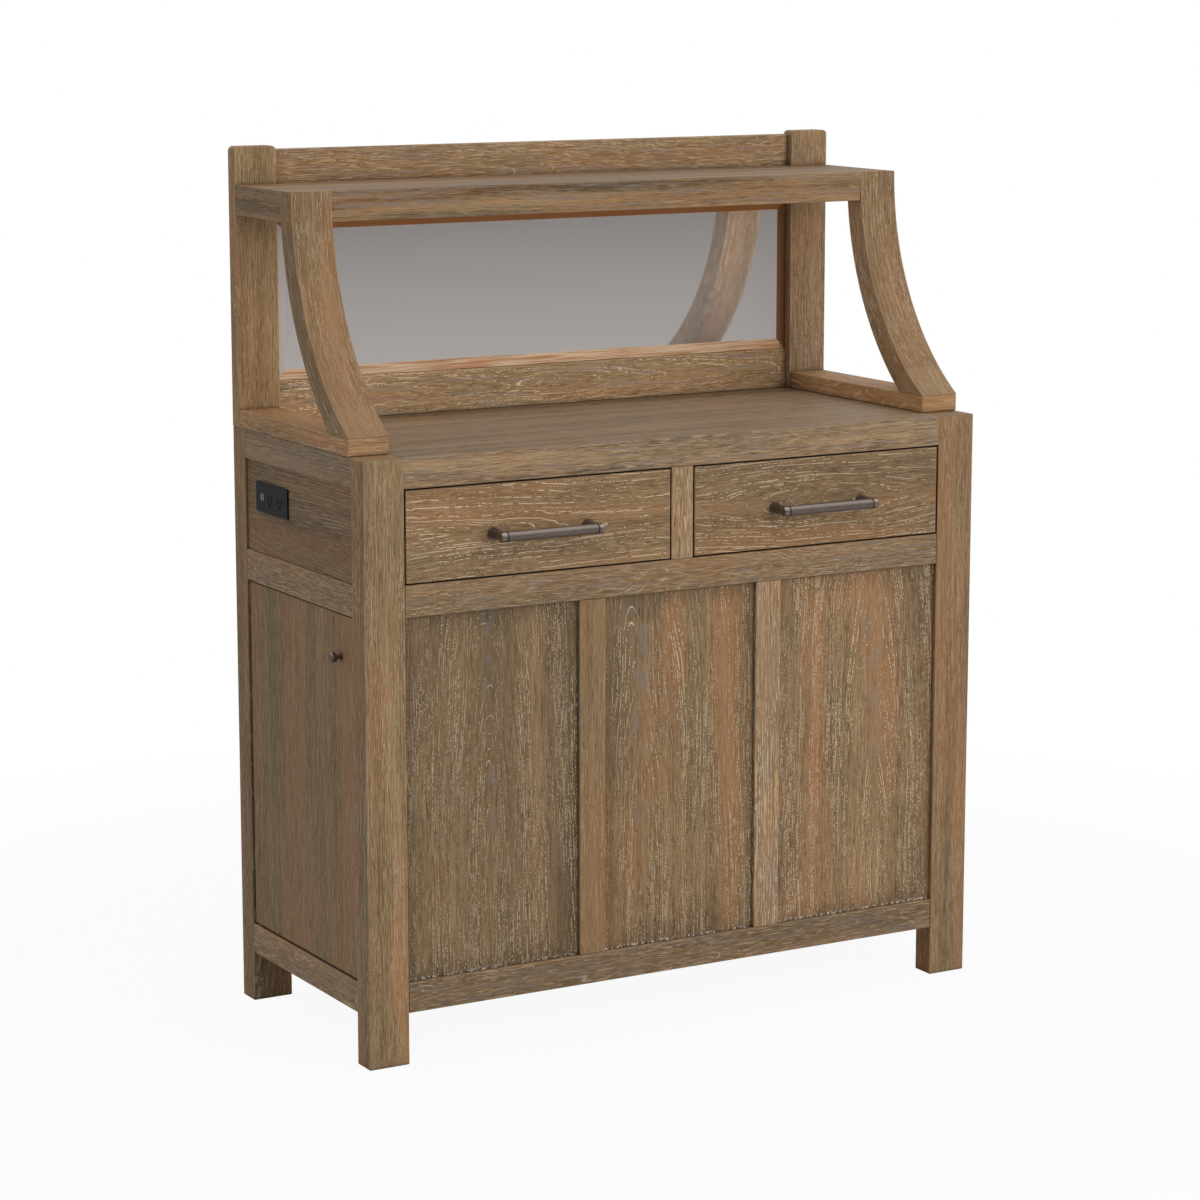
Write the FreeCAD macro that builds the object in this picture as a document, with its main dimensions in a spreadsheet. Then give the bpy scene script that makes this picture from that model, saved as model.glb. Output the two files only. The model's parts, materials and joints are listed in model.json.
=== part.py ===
# Buffet and hutch: an oak sideboard on four square legs, with two inset drawers over three fixed
# panels at the front and a hinged door in each end, carrying a mirror-backed hutch whose shelf
# stands on two curved brackets.
# Lengths are millimetres. +Z is up, the front faces -Y, and the origin lies on the floor under
# the middle of the piece, pulls and knobs included.

import FreeCAD
import Part
import Sketcher
import os
import re

SIZES = {
    # case
    "buffet_width": 1078.0,
    "buffet_depth": 456.0,
    "buffet_height": 914.0,
    "leg_width": 66.0,
    "leg_depth": 41.0,
    "top_thickness": 46.0,
    "drawer_opening_height": 142.0,
    "middle_rail_height": 48.0,
    "bottom_rail_height": 47.0,
    "floor_clearance": 79.0,
    "rail_thickness": 24.0,
    "rail_setback": 1.0,
    "stile_width": 45.0,
    "stile_spacing": 314.0,
    "divider_width": 38.0,
    "edge_ease": 1.2,
    # panels and joinery of the case
    "panel_thickness": 12.0,
    "panel_setback": 8.0,
    "side_panel_setback": 4.5,
    "panel_tongue": 8.0,
    "tenon_length": 18.0,
    "tenon_thickness": 12.0,
    "tenon_shoulder": 8.0,
    "stub_tenon": 8.0,
    "back_thickness": 8.0,
    "floor_thickness": 16.0,
    "partition_thickness": 18.0,
    # drawers
    "drawer_front_thickness": 20.0,
    "drawer_front_gap": 2.5,
    "drawer_side_thickness": 12.0,
    "drawer_side_height": 100.0,
    "drawer_side_lift": 18.0,
    "drawer_back_clearance": 49.0,
    "drawer_dado": 6.0,
    "drawer_bottom_thickness": 6.0,
    "drawer_bottom_lift": 10.0,
    # drawer slides
    "slide_height": 45.0,
    "slide_thickness": 12.7,
    "slide_sheet": 1.5,
    "slide_play": 0.4,
    "slide_front_gap": 4.0,
    "slide_back_gap": 16.0,
    "batten_thickness": 20.0,
    "batten_height": 60.0,
    # pulls
    "pull_length": 173.0,
    "pull_spacing": 160.0,
    "pull_standoff": 34.0,
    "pull_drop": 6.0,
    "pull_diameter": 16.0,
    "pull_collar_length": 9.0,
    "pull_groove_diameter": 12.5,
    "pull_groove_width": 2.0,
    "pull_post_diameter": 15.0,
    "pull_foot_diameter": 19.0,
    "pull_foot_thickness": 3.0,
    "pull_end_ease": 1.5,
    # doors
    "door_thickness": 18.0,
    "door_gap": 2.0,
    "pivot_depth": 5.0,
    "pivot_inset": 10.0,
    "pin_diameter": 6.0,
    "pin_reach": 10.0,
    "pin_embed": 20.0,
    "pin_clearance": 0.05,
    "bush_diameter": 10.0,
    "bush_length": 12.0,
    "catch_thickness": 14.0,
    "catch_width": 46.0,
    "catch_height": 44.0,
    "catch_drop": 18.0,
    "catch_inset": 70.0,
    "strike_thickness": 2.0,
    "strike_height": 14.0,
    "knob_diameter": 15.0,
    "knob_length": 18.0,
    "knob_head_length": 8.0,
    "knob_neck_diameter": 7.0,
    "knob_base_diameter": 11.0,
    "knob_base_length": 2.0,
    "knob_rim_ease": 2.2,
    "knob_inset": 49.0,
    "knob_drop": 66.0,
    # outlet in the left end
    "outlet_length": 112.0,
    "outlet_height": 46.0,
    "outlet_plate_thickness": 3.0,
    "outlet_corner_radius": 2.0,
    "outlet_back_inset": 79.0,
    "outlet_drop": 30.0,
    "housing_margin": 6.0,
    "housing_depth": 34.0,
    "socket_depth": 2.0,
    "usb_width": 4.5,
    "usb_height": 13.0,
    "usb_pitch": 7.0,
    "usb_inset": 17.5,
    "socket_pitch": 36.0,
    "socket_inset": 50.0,
    "blade_width": 2.4,
    "blade_height": 8.0,
    "blade_pitch": 12.0,
    "earth_diameter": 5.0,
    "earth_drop": 8.0,
    # hutch
    "hutch_height": 430.0,
    "post_width": 69.0,
    "post_thickness": 25.0,
    "post_corner_radius": 8.0,
    "foot_width": 66.0,
    "foot_height": 27.0,
    "foot_setback": 47.0,
    "bracket_width": 66.0,
    "bracket_thickness": 39.0,
    "shelf_height": 372.0,
    "shelf_thickness": 46.0,
    "shelf_setback": 230.0,
    "hutch_rail_recess": 13.0,
    "hutch_rail_housing": 10.0,
    "top_rail_drop": 6.0,
    "top_rail_lap": 9.0,
    "splash_height": 66.0,
    # mirror
    "glass_thickness": 5.0,
    "glass_clearance": 0.5,
    "bevel_width": 17.0,
    "bevel_depth": 2.5,
    "board_thickness": 5.0,
    "board_lap": 10.0,
}

# Places worked out from the sizes; the left half is described and the right half mirrors it.
PLACES = {
    "pull_reach": "pull_standoff + pull_diameter / 2 - rail_setback",
    "left": "-buffet_width / 2",
    "front": "(pull_reach - buffet_depth) / 2",
    "back": "front + buffet_depth",
    "leg_inner": "left + leg_width",
    "front_leg_back": "front + leg_depth",
    "rear_leg_front": "back - leg_depth",
    "side_run": "buffet_depth - 2 * leg_depth",
    "front_run": "buffet_width - 2 * leg_width",
    "top_under": "buffet_height - top_thickness",
    "middle_rail_top": "top_under - drawer_opening_height",
    "middle_rail_under": "middle_rail_top - middle_rail_height",
    "bottom_rail_top": "floor_clearance + bottom_rail_height",
    "cupboard_height": "middle_rail_under - bottom_rail_top",
    "rail_front": "front + rail_setback",
    "rail_back": "rail_front + rail_thickness",
    "rear_rail_front": "back - rail_setback - rail_thickness",
    "side_rail_outer": "left + rail_setback",
    "side_rail_inner": "side_rail_outer + rail_thickness",
    "back_front": "back - panel_setback - back_thickness",
    "door_face": "left + side_panel_setback",
    "pivot_x": "door_face + pivot_depth",
    "pivot_y": "rear_leg_front - door_gap - pivot_inset",
    "opening_width": "buffet_width / 2 - leg_width - divider_width / 2",
    "drawer_front_back": "rail_front + drawer_front_thickness",
    "drawer_side_under": "middle_rail_top + drawer_side_lift",
    "drawer_side_x": "leg_inner + slide_thickness",
    "drawer_box_width": "opening_width - 2 * slide_thickness",
    "drawer_box_back": "back_front - drawer_back_clearance",
    "drawer_box_depth": "drawer_box_back - (drawer_front_back)",
    "slide_middle": "drawer_side_under + drawer_side_height / 2",
    "slide_front": "drawer_front_back + slide_front_gap",
    "slide_length": "drawer_box_back - slide_back_gap - (slide_front)",
    "slide_step": "slide_sheet + slide_play",
    "slide_reach": "slide_thickness - slide_step",
    "foot_front": "front + foot_setback",
    "foot_top": "buffet_height + foot_height",
    "shelf_front": "front + shelf_setback",
    "shelf_top": "buffet_height + shelf_height",
    "shelf_under": "shelf_top - shelf_thickness",
    "post_front": "back - post_thickness",
    "post_inner": "left + post_width",
    "hutch_rail_front": "post_front + hutch_rail_recess",
    "hutch_rail_thickness": "post_thickness - hutch_rail_recess",
    "hutch_run": "buffet_width - 2 * post_width",
    "splash_top": "buffet_height + splash_height",
    "board_front": "back - board_thickness",
    "mirror_top": "shelf_under - top_rail_lap",
}

doc = FreeCAD.newDocument("BuffetAndHutch")
sheet = doc.addObject("Spreadsheet::Sheet", "Sizes")
for row, (alias, size) in enumerate(SIZES.items(), 1):
    sheet.set(f"A{row}", alias)
    sheet.set(f"B{row}", str(size))
    sheet.setAlias(f"B{row}", alias)
doc.recompute()

NEAR_SHARE = 0.01  # slack, as a share, when edges are picked by direction or height
nodes = []
corners = {}


def cell(text):
    """Write words that name sizes and places as an expression on the sheet."""
    def swap(match):
        word = match.group()
        if word in SIZES:
            return "Sizes." + word
        if word in PLACES:
            return "(" + cell(PLACES[word]) + ")"
        return word
    return re.sub(r"[a-z][a-z0-9_]*", swap, text)


def value(text):
    """Present value of an expression, to start a sketch near its solution."""
    return float(sheet.evalExpression(cell(text)))


def bind(thing, prop, text):
    thing.setExpression(prop, cell(text))


def mirrored(box):
    """The same box on the other side of the middle plane."""
    x, y, z, dx, dy, dz = box
    return (f"-({x}) - ({dx})", y, z, dx, dy, dz)


def sided(side, box):
    return box if side == "left" else mirrored(box)


def new_body(label, corner):
    """An empty body whose own origin sits at a corner of the piece."""
    body = doc.addObject("PartDesign::Body", label)
    body.Label = label
    for axis, text in zip("xyz", corner):
        bind(body, "Placement.Base." + axis, text)
    corners[body.Name] = corner
    return body


def keep(piece):
    """Count a finished piece as a node of the assembly."""
    nodes.append(piece)
    return piece


def group(label, members):
    """Like pieces that share one node as separate solids."""
    compound = doc.addObject("Part::Compound", label)
    compound.Label = label
    compound.Links = members
    return keep(compound)


def set_in(body, feature, corner):
    """Place a feature, given in the assembly's frame, inside its body."""
    for axis, text, zero in zip("xyz", corner, corners[body.Name]):
        bind(feature, "Placement.Base." + axis, f"({text}) - ({zero})")


def block(body, kind, box):
    """Add or cut a straight block."""
    feature = body.newObject(f"PartDesign::{kind}Box", kind + "Block")
    for prop, text in zip(("Length", "Width", "Height"), box[3:]):
        bind(feature, prop, text)
    set_in(body, feature, box[:3])
    return feature


def round_bar(body, kind, foot, diameter, height):
    """Add or cut an upright round bar that stands on a point."""
    feature = body.newObject(f"PartDesign::{kind}Cylinder", kind + "Round")
    bind(feature, "Radius", f"({diameter}) / 2")
    bind(feature, "Height", height)
    set_in(body, feature, foot)
    return feature


def add(body, *boxes):
    for box in boxes:
        block(body, "Additive", box)


def house(body, *boxes):
    """Cut the seats that other pieces fill."""
    for box in boxes:
        block(body, "Subtractive", box)


def ease(body):
    """Break every edge of the stock."""
    stock = body.Tip
    chamfer = body.newObject("PartDesign::Chamfer", "EasedEdges")
    chamfer.Base = (stock, [""])
    chamfer.UseAllEdges = True
    bind(chamfer, "Size", "edge_ease")


def board(label, box, eased=True):
    """A straight piece of timber."""
    body = new_body(label, box[:3])
    block(body, "Additive", box)
    if eased:
        ease(body)
    return body


def sketch_on(body, role, name):
    sketch = body.newObject("Sketcher::SketchObject", name)
    plane = [item for item in body.Origin.OriginFeatures if item.Role == role][0]
    sketch.AttachmentSupport = [(plane, "")]
    sketch.MapMode = "FlatFace"
    return sketch


def measure(sketch, kind, ends, text):
    """One dimension of a sketch, bound to the sheet."""
    number = sketch.addConstraint(Sketcher.Constraint(kind, *ends, value(text)))
    if text != "0":
        sketch.setExpression(f"Constraints[{number}]", cell(text))


def outline(sketch, points):
    """A closed outline of straight sides, each corner measured from the sketch's origin."""
    spots = [FreeCAD.Vector(value(u), value(v), 0) for u, v in points]
    lines = [sketch.addGeometry(Part.LineSegment(spots[i - 1], spots[i]), False)
             for i in range(len(spots))]
    for i, line in enumerate(lines):
        sketch.addConstraint(Sketcher.Constraint("Coincident", lines[i - 1], 2, line, 1))
    for line, (u, v) in zip(lines, points):
        measure(sketch, "DistanceX", (-1, 1, line, 2), u)
        measure(sketch, "DistanceY", (-1, 1, line, 2), v)


def circle(sketch, u, v, diameter):
    """A round outline about a centre, measured from the sketch's origin."""
    ring = sketch.addGeometry(Part.Circle(FreeCAD.Vector(value(u), value(v), 0),
                                          FreeCAD.Vector(0, 0, 1), value(f"{diameter} / 2")), False)
    measure(sketch, "Diameter", (ring,), diameter)
    measure(sketch, "DistanceX", (-1, 1, ring, 3), u)
    measure(sketch, "DistanceY", (-1, 1, ring, 3), v)


def extrude(body, kind, sketch, length, reverse):
    """Pad or pocket a sketch along its plane's normal."""
    feature = body.newObject("PartDesign::" + kind, kind)
    feature.Profile = sketch
    bind(feature, "Length", length)
    feature.Reversed = reverse
    return feature


def revolve(body, sketch):
    """Turn a sketch about its own horizontal axis."""
    feature = body.newObject("PartDesign::Revolution", "Turned")
    feature.Profile = sketch
    feature.ReferenceAxis = (sketch, ["H_Axis"])
    feature.Angle = 360
    return feature


def fillet(body, radius, wanted):
    """Round those edges of the body's last feature that a test picks."""
    doc.recompute()
    base = body.Tip
    names = [f"Edge{i}" for i, edge in enumerate(base.Shape.Edges, 1) if wanted(edge)]
    feature = body.newObject("PartDesign::Fillet", "Rounded")
    feature.Base = (base, names)
    bind(feature, "Radius", radius)
    return feature


def runs_along(edge, axis):
    """True for a straight edge that runs along one axis."""
    if not isinstance(edge.Curve, Part.Line):
        return False
    return abs(getattr(edge.Curve.Direction, axis)) > 1 - NEAR_SHARE


# Boxes that more than one piece needs, each as corner and size.

LEG = {
    "front": ("left", "front", "0", "leg_width", "leg_depth", "buffet_height"),
    "rear": ("left", "rear_leg_front", "0", "leg_width", "leg_depth", "buffet_height"),
}


def cross_rail(face, under, height):
    """A rail along X between two legs."""
    return ("leg_inner", face, under, "front_run", "rail_thickness", height)


def side_rail(under, height):
    """A rail along Y between the legs of the left end."""
    return ("side_rail_outer", "front_leg_back", under, "rail_thickness", "side_run", height)


RAILS = {
    "front_middle_rail": cross_rail("rail_front", "middle_rail_under", "middle_rail_height"),
    "front_bottom_rail": cross_rail("rail_front", "floor_clearance", "bottom_rail_height"),
    "rear_bottom_rail": cross_rail("rear_rail_front", "floor_clearance", "bottom_rail_height"),
}
SIDE_RAILS = {
    "middle_rail": side_rail("middle_rail_under", "middle_rail_height"),
    "bottom_rail": side_rail("floor_clearance", "bottom_rail_height"),
}


def cross_tenon(rail):
    """The left tenon of a rail along X."""
    x, y, z, dx, dy, dz = rail
    return (f"{x} - tenon_length", f"{y} + ({dy} - tenon_thickness) / 2", f"{z} + tenon_shoulder",
            "tenon_length", "tenon_thickness", f"{dz} - 2 * tenon_shoulder")


def side_tenons(rail):
    """The front and rear tenons of a rail along Y."""
    x, y, z, dx, dy, dz = rail
    across = f"{x} + ({dx} - tenon_thickness) / 2"
    low = f"{z} + tenon_shoulder"
    height = f"{dz} - 2 * tenon_shoulder"
    front = (across, f"{y} - tenon_length", low, "tenon_thickness", "tenon_length", height)
    rear = (across, f"{y} + {dy}", low, "tenon_thickness", "tenon_length", height)
    return front, rear


def upright_tenons(upright):
    """The stub tenons at the foot and head of a stile or divider."""
    x, y, z, dx, dy, dz = upright
    inset = f"{y} + ({dy} - tenon_thickness) / 2"
    across = f"{x} + tenon_shoulder"
    width = f"{dx} - 2 * tenon_shoulder"
    foot = (across, inset, f"{z} - stub_tenon", width, "tenon_thickness", "stub_tenon")
    head = (across, inset, f"{z} + {dz}", width, "tenon_thickness", "stub_tenon")
    return foot, head


STILE = ("-stile_spacing / 2 - stile_width / 2", "rail_front", "bottom_rail_top",
         "stile_width", "rail_thickness", "cupboard_height")
DIVIDER = ("-divider_width / 2", "rail_front", "middle_rail_top",
           "divider_width", "rail_thickness", "drawer_opening_height")


def front_panel(start, width):
    """A fixed panel whose tongue sits in grooves all round."""
    return (f"{start} - panel_tongue", "front + panel_setback", "bottom_rail_top - panel_tongue",
            f"{width} + 2 * panel_tongue", "panel_thickness", "cupboard_height + 2 * panel_tongue")


PANELS = {
    "left": front_panel("leg_inner", "front_run / 2 - stile_spacing / 2 - stile_width / 2"),
    "center": front_panel("-stile_spacing / 2 + stile_width / 2", "stile_spacing - stile_width"),
}
PANELS["right"] = mirrored(PANELS["left"])
UPPER_PANEL = ("door_face", "front_leg_back - panel_tongue", "middle_rail_top - panel_tongue",
               "panel_thickness", "side_run + 2 * panel_tongue",
               "drawer_opening_height + 2 * panel_tongue")
BACK_PANEL = ("leg_inner - panel_tongue", "back_front", "bottom_rail_top - panel_tongue",
              "front_run + 2 * panel_tongue", "back_thickness",
              "top_under - bottom_rail_top + 2 * panel_tongue")
HOUSING = ("door_face", "back - outlet_back_inset - outlet_length + housing_margin",
           "top_under - outlet_drop - outlet_height + housing_margin",
           "housing_depth", "outlet_length - 2 * housing_margin",
           "outlet_height - 2 * housing_margin")
FOOT = ("left", "foot_front", "buffet_height",
        "foot_width", "buffet_depth - foot_setback - post_thickness", "foot_height")
POST = ("left", "post_front", "buffet_height", "post_width", "post_thickness", "hutch_height")


def hutch_rail(under, height):
    """A rail across the back of the hutch, housed in both posts."""
    return ("post_inner - hutch_rail_housing", "hutch_rail_front", under,
            "hutch_run + 2 * hutch_rail_housing", "hutch_rail_thickness", height)


TOP_RAIL = hutch_rail("mirror_top", "buffet_height + hutch_height - top_rail_drop - (mirror_top)")
SPLASH_RAIL = hutch_rail("buffet_height", "splash_height")
BACK_BOARD = ("post_inner - board_lap", "board_front", "splash_top - board_lap",
              "hutch_run + 2 * board_lap", "board_thickness",
              "mirror_top - (splash_top) + 2 * board_lap")


def legs(side):
    """Front and rear leg of one end, mortised for the rails and grooved for the panels."""
    for row, rails in (("front", ("front_middle_rail", "front_bottom_rail")),
                       ("rear", ("rear_bottom_rail",))):
        body = board(f"{row}_{side}_leg", sided(side, LEG[row]))
        seats = [cross_tenon(RAILS[name]) for name in rails]
        seats += [side_tenons(rail)[0 if row == "front" else 1] for rail in SIDE_RAILS.values()]
        seats += [UPPER_PANEL, PANELS["left"] if row == "front" else BACK_PANEL]
        house(body, *[sided(side, seat) for seat in seats])
        keep(body)


def front_rails():
    """Rails across the front and the back."""
    for name, rail in RAILS.items():
        body = board(name, rail)
        tenon = cross_tenon(rail)
        add(body, tenon, mirrored(tenon))
        if name == "rear_bottom_rail":
            house(body, BACK_PANEL)
        else:
            end = 0 if name == "front_bottom_rail" else 1
            stub = upright_tenons(STILE)[end]
            house(body, *PANELS.values(), stub, mirrored(stub))
        if name == "front_middle_rail":
            house(body, upright_tenons(DIVIDER)[0])
        keep(body)


def side_rails(side):
    """Rails of one end, bored for the pivot bushes of the door."""
    for name, rail in SIDE_RAILS.items():
        body = board(f"{side}_{name}", sided(side, rail))
        add(body, *[sided(side, tenon) for tenon in side_tenons(rail)])
        if name == "middle_rail":
            house(body, sided(side, UPPER_PANEL))
            bore_foot = "middle_rail_under"
        else:
            bore_foot = "bottom_rail_top - bush_length"
        round_bar(body, "Subtractive", pivot_point(side, bore_foot), "bush_diameter", "bush_length")
        keep(body)


def uprights():
    """Stiles between the front panels and the divider between the drawers."""
    for side in ("left", "right"):
        body = board(f"front_{side}_stile", sided(side, STILE))
        add(body, *[sided(side, tenon) for tenon in upright_tenons(STILE)])
        house(body, PANELS[side], PANELS["center"])
        keep(body)
    divider = board("drawer_divider", DIVIDER)
    add(divider, *upright_tenons(DIVIDER))
    keep(divider)


def panels():
    """Fixed panels of the front, the ends and the back."""
    for name, box in PANELS.items():
        keep(board(f"front_{name}_panel", box, eased=False))
    for side in ("left", "right"):
        upper = board(f"{side}_upper_panel", sided(side, UPPER_PANEL), eased=False)
        if side == "left":
            house(upper, HOUSING)
        keep(upper)
    keep(board("back_panel", BACK_PANEL, eased=False))


def case_boards():
    """The thick top between the leg tops, the cupboard floor and the drawer partition."""
    leg_boxes = [sided(side, LEG[row]) for side in ("left", "right") for row in LEG]
    top = board("buffet_top", ("side_rail_outer", "rail_front", "top_under",
                               "buffet_width - 2 * rail_setback",
                               "buffet_depth - 2 * rail_setback", "top_thickness"))
    house(top, *leg_boxes, UPPER_PANEL, mirrored(UPPER_PANEL), BACK_PANEL,
          upright_tenons(DIVIDER)[1])
    keep(top)
    floor = board("cabinet_floor", ("side_rail_inner", "rail_back",
                                    "bottom_rail_top - floor_thickness",
                                    "buffet_width - 2 * (rail_setback + rail_thickness)",
                                    "buffet_depth - 2 * (rail_setback + rail_thickness)",
                                    "floor_thickness"), eased=False)
    house(floor, *leg_boxes)
    keep(floor)
    keep(board("drawer_partition", ("-partition_thickness / 2", "rail_back", "middle_rail_top",
                                    "partition_thickness", "back_front - (rail_back)",
                                    "drawer_opening_height"), eased=False))


def slide_battens():
    """Battens that bring the slides level with the legs and the divider."""
    low = "slide_middle - batten_height / 2"
    outer = ("leg_inner - batten_thickness", "front_leg_back", low,
             "batten_thickness", "side_run", "batten_height")
    inner = ("-divider_width / 2", "rail_back", low,
             "(divider_width - partition_thickness) / 2", "back_front - (rail_back)",
             "batten_height")
    members = []
    for side in ("left", "right"):
        members.append(board(f"{side}_outer_batten", sided(side, outer), eased=False))
        members.append(board(f"{side}_inner_batten", sided(side, inner), eased=False))
    group("slide_battens", members)


SLIDE_MEMBERS = {
    # outer and inner face of the web, end of the lips, and height of each nested channel
    "cabinet_slide": ("0", "slide_sheet", "slide_reach", "slide_height"),
    "middle_slide": ("slide_step", "slide_step + slide_sheet", "slide_reach",
                     "slide_height - 2 * slide_step"),
    "drawer_slide": ("slide_thickness", "slide_thickness - slide_sheet", "2 * slide_step",
                     "slide_height - 4 * slide_step"),
}


def channel(label, start, section, flip):
    """A folded channel along Y, whose web stands upright and whose lips reach across."""
    outer, inner, lip, height = section
    body = new_body(label, (start, "slide_front", f"slide_middle - ({height}) / 2"))
    low = "slide_sheet"
    high = f"{height} - slide_sheet"
    points = [(outer, "0"), (lip, "0"), (lip, low), (inner, low),
              (inner, high), (lip, high), (lip, height), (outer, height)]
    if flip:
        points = [(f"slide_thickness - ({u})", v) for u, v in points]
    sketch = sketch_on(body, "XZ_Plane", "Section")
    outline(sketch, points)
    extrude(body, "Pad", sketch, "slide_length", True)
    return body


def slides():
    """Three-member slides: one pair to each drawer, the fixed members sharing a node."""
    fixed = []
    for side in ("left", "right"):
        outer_hand = side == "right"
        starts = (("leg_inner", outer_hand), ("-divider_width / 2 - slide_thickness", not outer_hand))
        for member, section in SLIDE_MEMBERS.items():
            pair = []
            for spot, (start, flip) in zip(("outer", "inner"), starts):
                placed = start if side == "left" else f"-({start}) - slide_thickness"
                pair.append(channel(f"{side}_{spot}_{member}", placed, section, flip))
            if member == "cabinet_slide":
                fixed += pair
            else:
                group(f"{side}_{member}s", pair)
    group("cabinet_slides", fixed)


def drawer(side):
    """One inset drawer: a thick front dadoed for a thin box with a grooved-in bottom."""
    front_box = ("leg_inner + drawer_front_gap", "rail_front", "middle_rail_top + drawer_front_gap",
                 "opening_width - 2 * drawer_front_gap", "drawer_front_thickness",
                 "drawer_opening_height - 2 * drawer_front_gap")
    near = ("drawer_side_x", "drawer_front_back - drawer_dado", "drawer_side_under",
            "drawer_side_thickness", "drawer_box_depth + drawer_dado", "drawer_side_height")
    far = ("drawer_side_x + drawer_box_width - drawer_side_thickness",) + near[1:]
    back = ("drawer_side_x + drawer_side_thickness", "drawer_box_back - drawer_side_thickness",
            "drawer_side_under", "drawer_box_width - 2 * drawer_side_thickness",
            "drawer_side_thickness", "drawer_side_height")
    bottom = ("drawer_side_x + drawer_side_thickness - drawer_dado",
              "drawer_front_back - drawer_dado", "drawer_side_under + drawer_bottom_lift",
              "drawer_box_width - 2 * (drawer_side_thickness - drawer_dado)",
              "drawer_box_depth - drawer_side_thickness + 2 * drawer_dado",
              "drawer_bottom_thickness")
    boxes = [sided(side, box) for box in (front_box, near, far, back, bottom)]
    front_box, near, far, back, bottom = boxes
    front = board(f"{side}_drawer_front", front_box)
    house(front, near, far, bottom)
    keep(front)
    walls = []
    for name, box in (("near_side", near), ("far_side", far), ("back", back)):
        wall = board(f"{side}_drawer_{name}", box, eased=False)
        house(wall, bottom)
        walls.append(wall)
    group(f"{side}_drawer_box", walls)
    keep(board(f"{side}_drawer_bottom", bottom, eased=False))
    keep(pull(side))


def pull(side):
    """A round bar pull, grooved near its ends, on two posts with round feet, cast in one."""
    middle = "leg_inner + opening_width / 2"
    start = middle if side == "left" else f"-({middle})"
    height = "middle_rail_top + drawer_opening_height / 2 - pull_drop"
    body = new_body(f"{side}_drawer_pull", (f"{start} - pull_length / 2",
                                            "rail_front - pull_standoff", height))
    bar = "pull_diameter / 2"
    groove = "pull_groove_diameter / 2"
    groove_end = "pull_collar_length + pull_groove_width"
    half = [("0", "0"), ("0", f"{bar} - pull_end_ease"), ("pull_end_ease", bar),
            ("pull_collar_length", bar), ("pull_collar_length", groove),
            (groove_end, groove), (groove_end, bar)]
    other = [(f"pull_length - ({u})", v) for u, v in reversed(half)]
    profile = sketch_on(body, "XY_Plane", "BarProfile")
    outline(profile, half + other)
    revolve(body, profile)
    posts = sketch_on(body, "XZ_Plane", "PostSections")
    feet = sketch_on(body, "XZ_Plane", "FootSections")
    bind(feet, "AttachmentOffset.Base.z", "-pull_standoff")
    for inset in ("(pull_length - pull_spacing) / 2", "(pull_length + pull_spacing) / 2"):
        circle(posts, inset, "0", "pull_post_diameter")
        circle(feet, inset, "0", "pull_foot_diameter")
    extrude(body, "Pad", posts, "pull_standoff", True)
    extrude(body, "Pad", feet, "pull_foot_thickness", False)
    return body


def pivot_point(side, height):
    """A point on the pivot axis of one door."""
    across = "pivot_x" if side == "left" else "-(pivot_x)"
    return (across, "pivot_y", height)


def door(side):
    """A flat inset door on two pivot pins, with its knob and strike."""
    box = ("door_face", "front_leg_back + door_gap", "bottom_rail_top + door_gap",
           "door_thickness", "side_run - 2 * door_gap", "cupboard_height - 2 * door_gap")
    low_pin = "bottom_rail_top - pin_reach"
    high_pin = "middle_rail_under - door_gap - pin_embed"
    reach = "pin_reach + door_gap + pin_embed"
    body = board(f"{side}_door", sided(side, box))
    pins = []
    for name, foot in (("lower", low_pin), ("upper", high_pin)):
        point = pivot_point(side, foot)
        round_bar(body, "Subtractive", point, "pin_diameter", reach)
        pin = new_body(f"{side}_{name}_pin", point)
        round_bar(pin, "Additive", point, "pin_diameter", reach)
        pins.append(pin)
    keep(body)
    group(f"{side}_pivot_pins", pins)
    strike = ("door_face + door_thickness", "front_leg_back + catch_inset - catch_width / 2",
              "middle_rail_under - catch_drop", "strike_thickness", "catch_width", "strike_height")
    keep(board(f"{side}_strike_plate", sided(side, strike), eased=False))
    keep(knob(side))


def knob(side):
    """A small turned knob: base, neck and a head with a bevelled rim."""
    start = "door_face - knob_length" if side == "left" else "-(door_face)"
    body = new_body(f"{side}_door_knob", (start, "front_leg_back + knob_inset",
                                          "middle_rail_under - knob_drop"))
    head, neck, base = (f"knob_{part}diameter / 2" for part in ("", "neck_", "base_"))
    flange = "knob_length - knob_base_length"
    points = [("0", "0"), ("0", f"{head} - knob_rim_ease"), ("knob_rim_ease", head),
              ("knob_head_length", head), ("knob_head_length", neck), (flange, neck),
              (flange, base), ("knob_length", base), ("knob_length", "0")]
    if side == "right":
        points = [(f"knob_length - ({u})", v) for u, v in points]
    profile = sketch_on(body, "XY_Plane", "KnobProfile")
    outline(profile, points)
    revolve(body, profile)
    return body


def door_fittings():
    """Bushes in the rails for the pivot pins, and the catches behind the doors."""
    bushes = []
    catches = []
    for side in ("left", "right"):
        for name, foot in (("lower", "bottom_rail_top - bush_length"), ("upper", "middle_rail_under")):
            point = pivot_point(side, foot)
            bush = new_body(f"{side}_{name}_bush", point)
            round_bar(bush, "Additive", point, "bush_diameter", "bush_length")
            round_bar(bush, "Subtractive", point, "pin_diameter + 2 * pin_clearance", "bush_length")
            bushes.append(bush)
        catch = ("side_rail_inner", "front_leg_back + catch_inset - catch_width / 2",
                 "middle_rail_under - catch_drop", "catch_thickness", "catch_width", "catch_height")
        catches.append(board(f"{side}_catch", sided(side, catch)))
    group("pivot_bushes", bushes)
    group("door_catches", catches)


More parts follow.
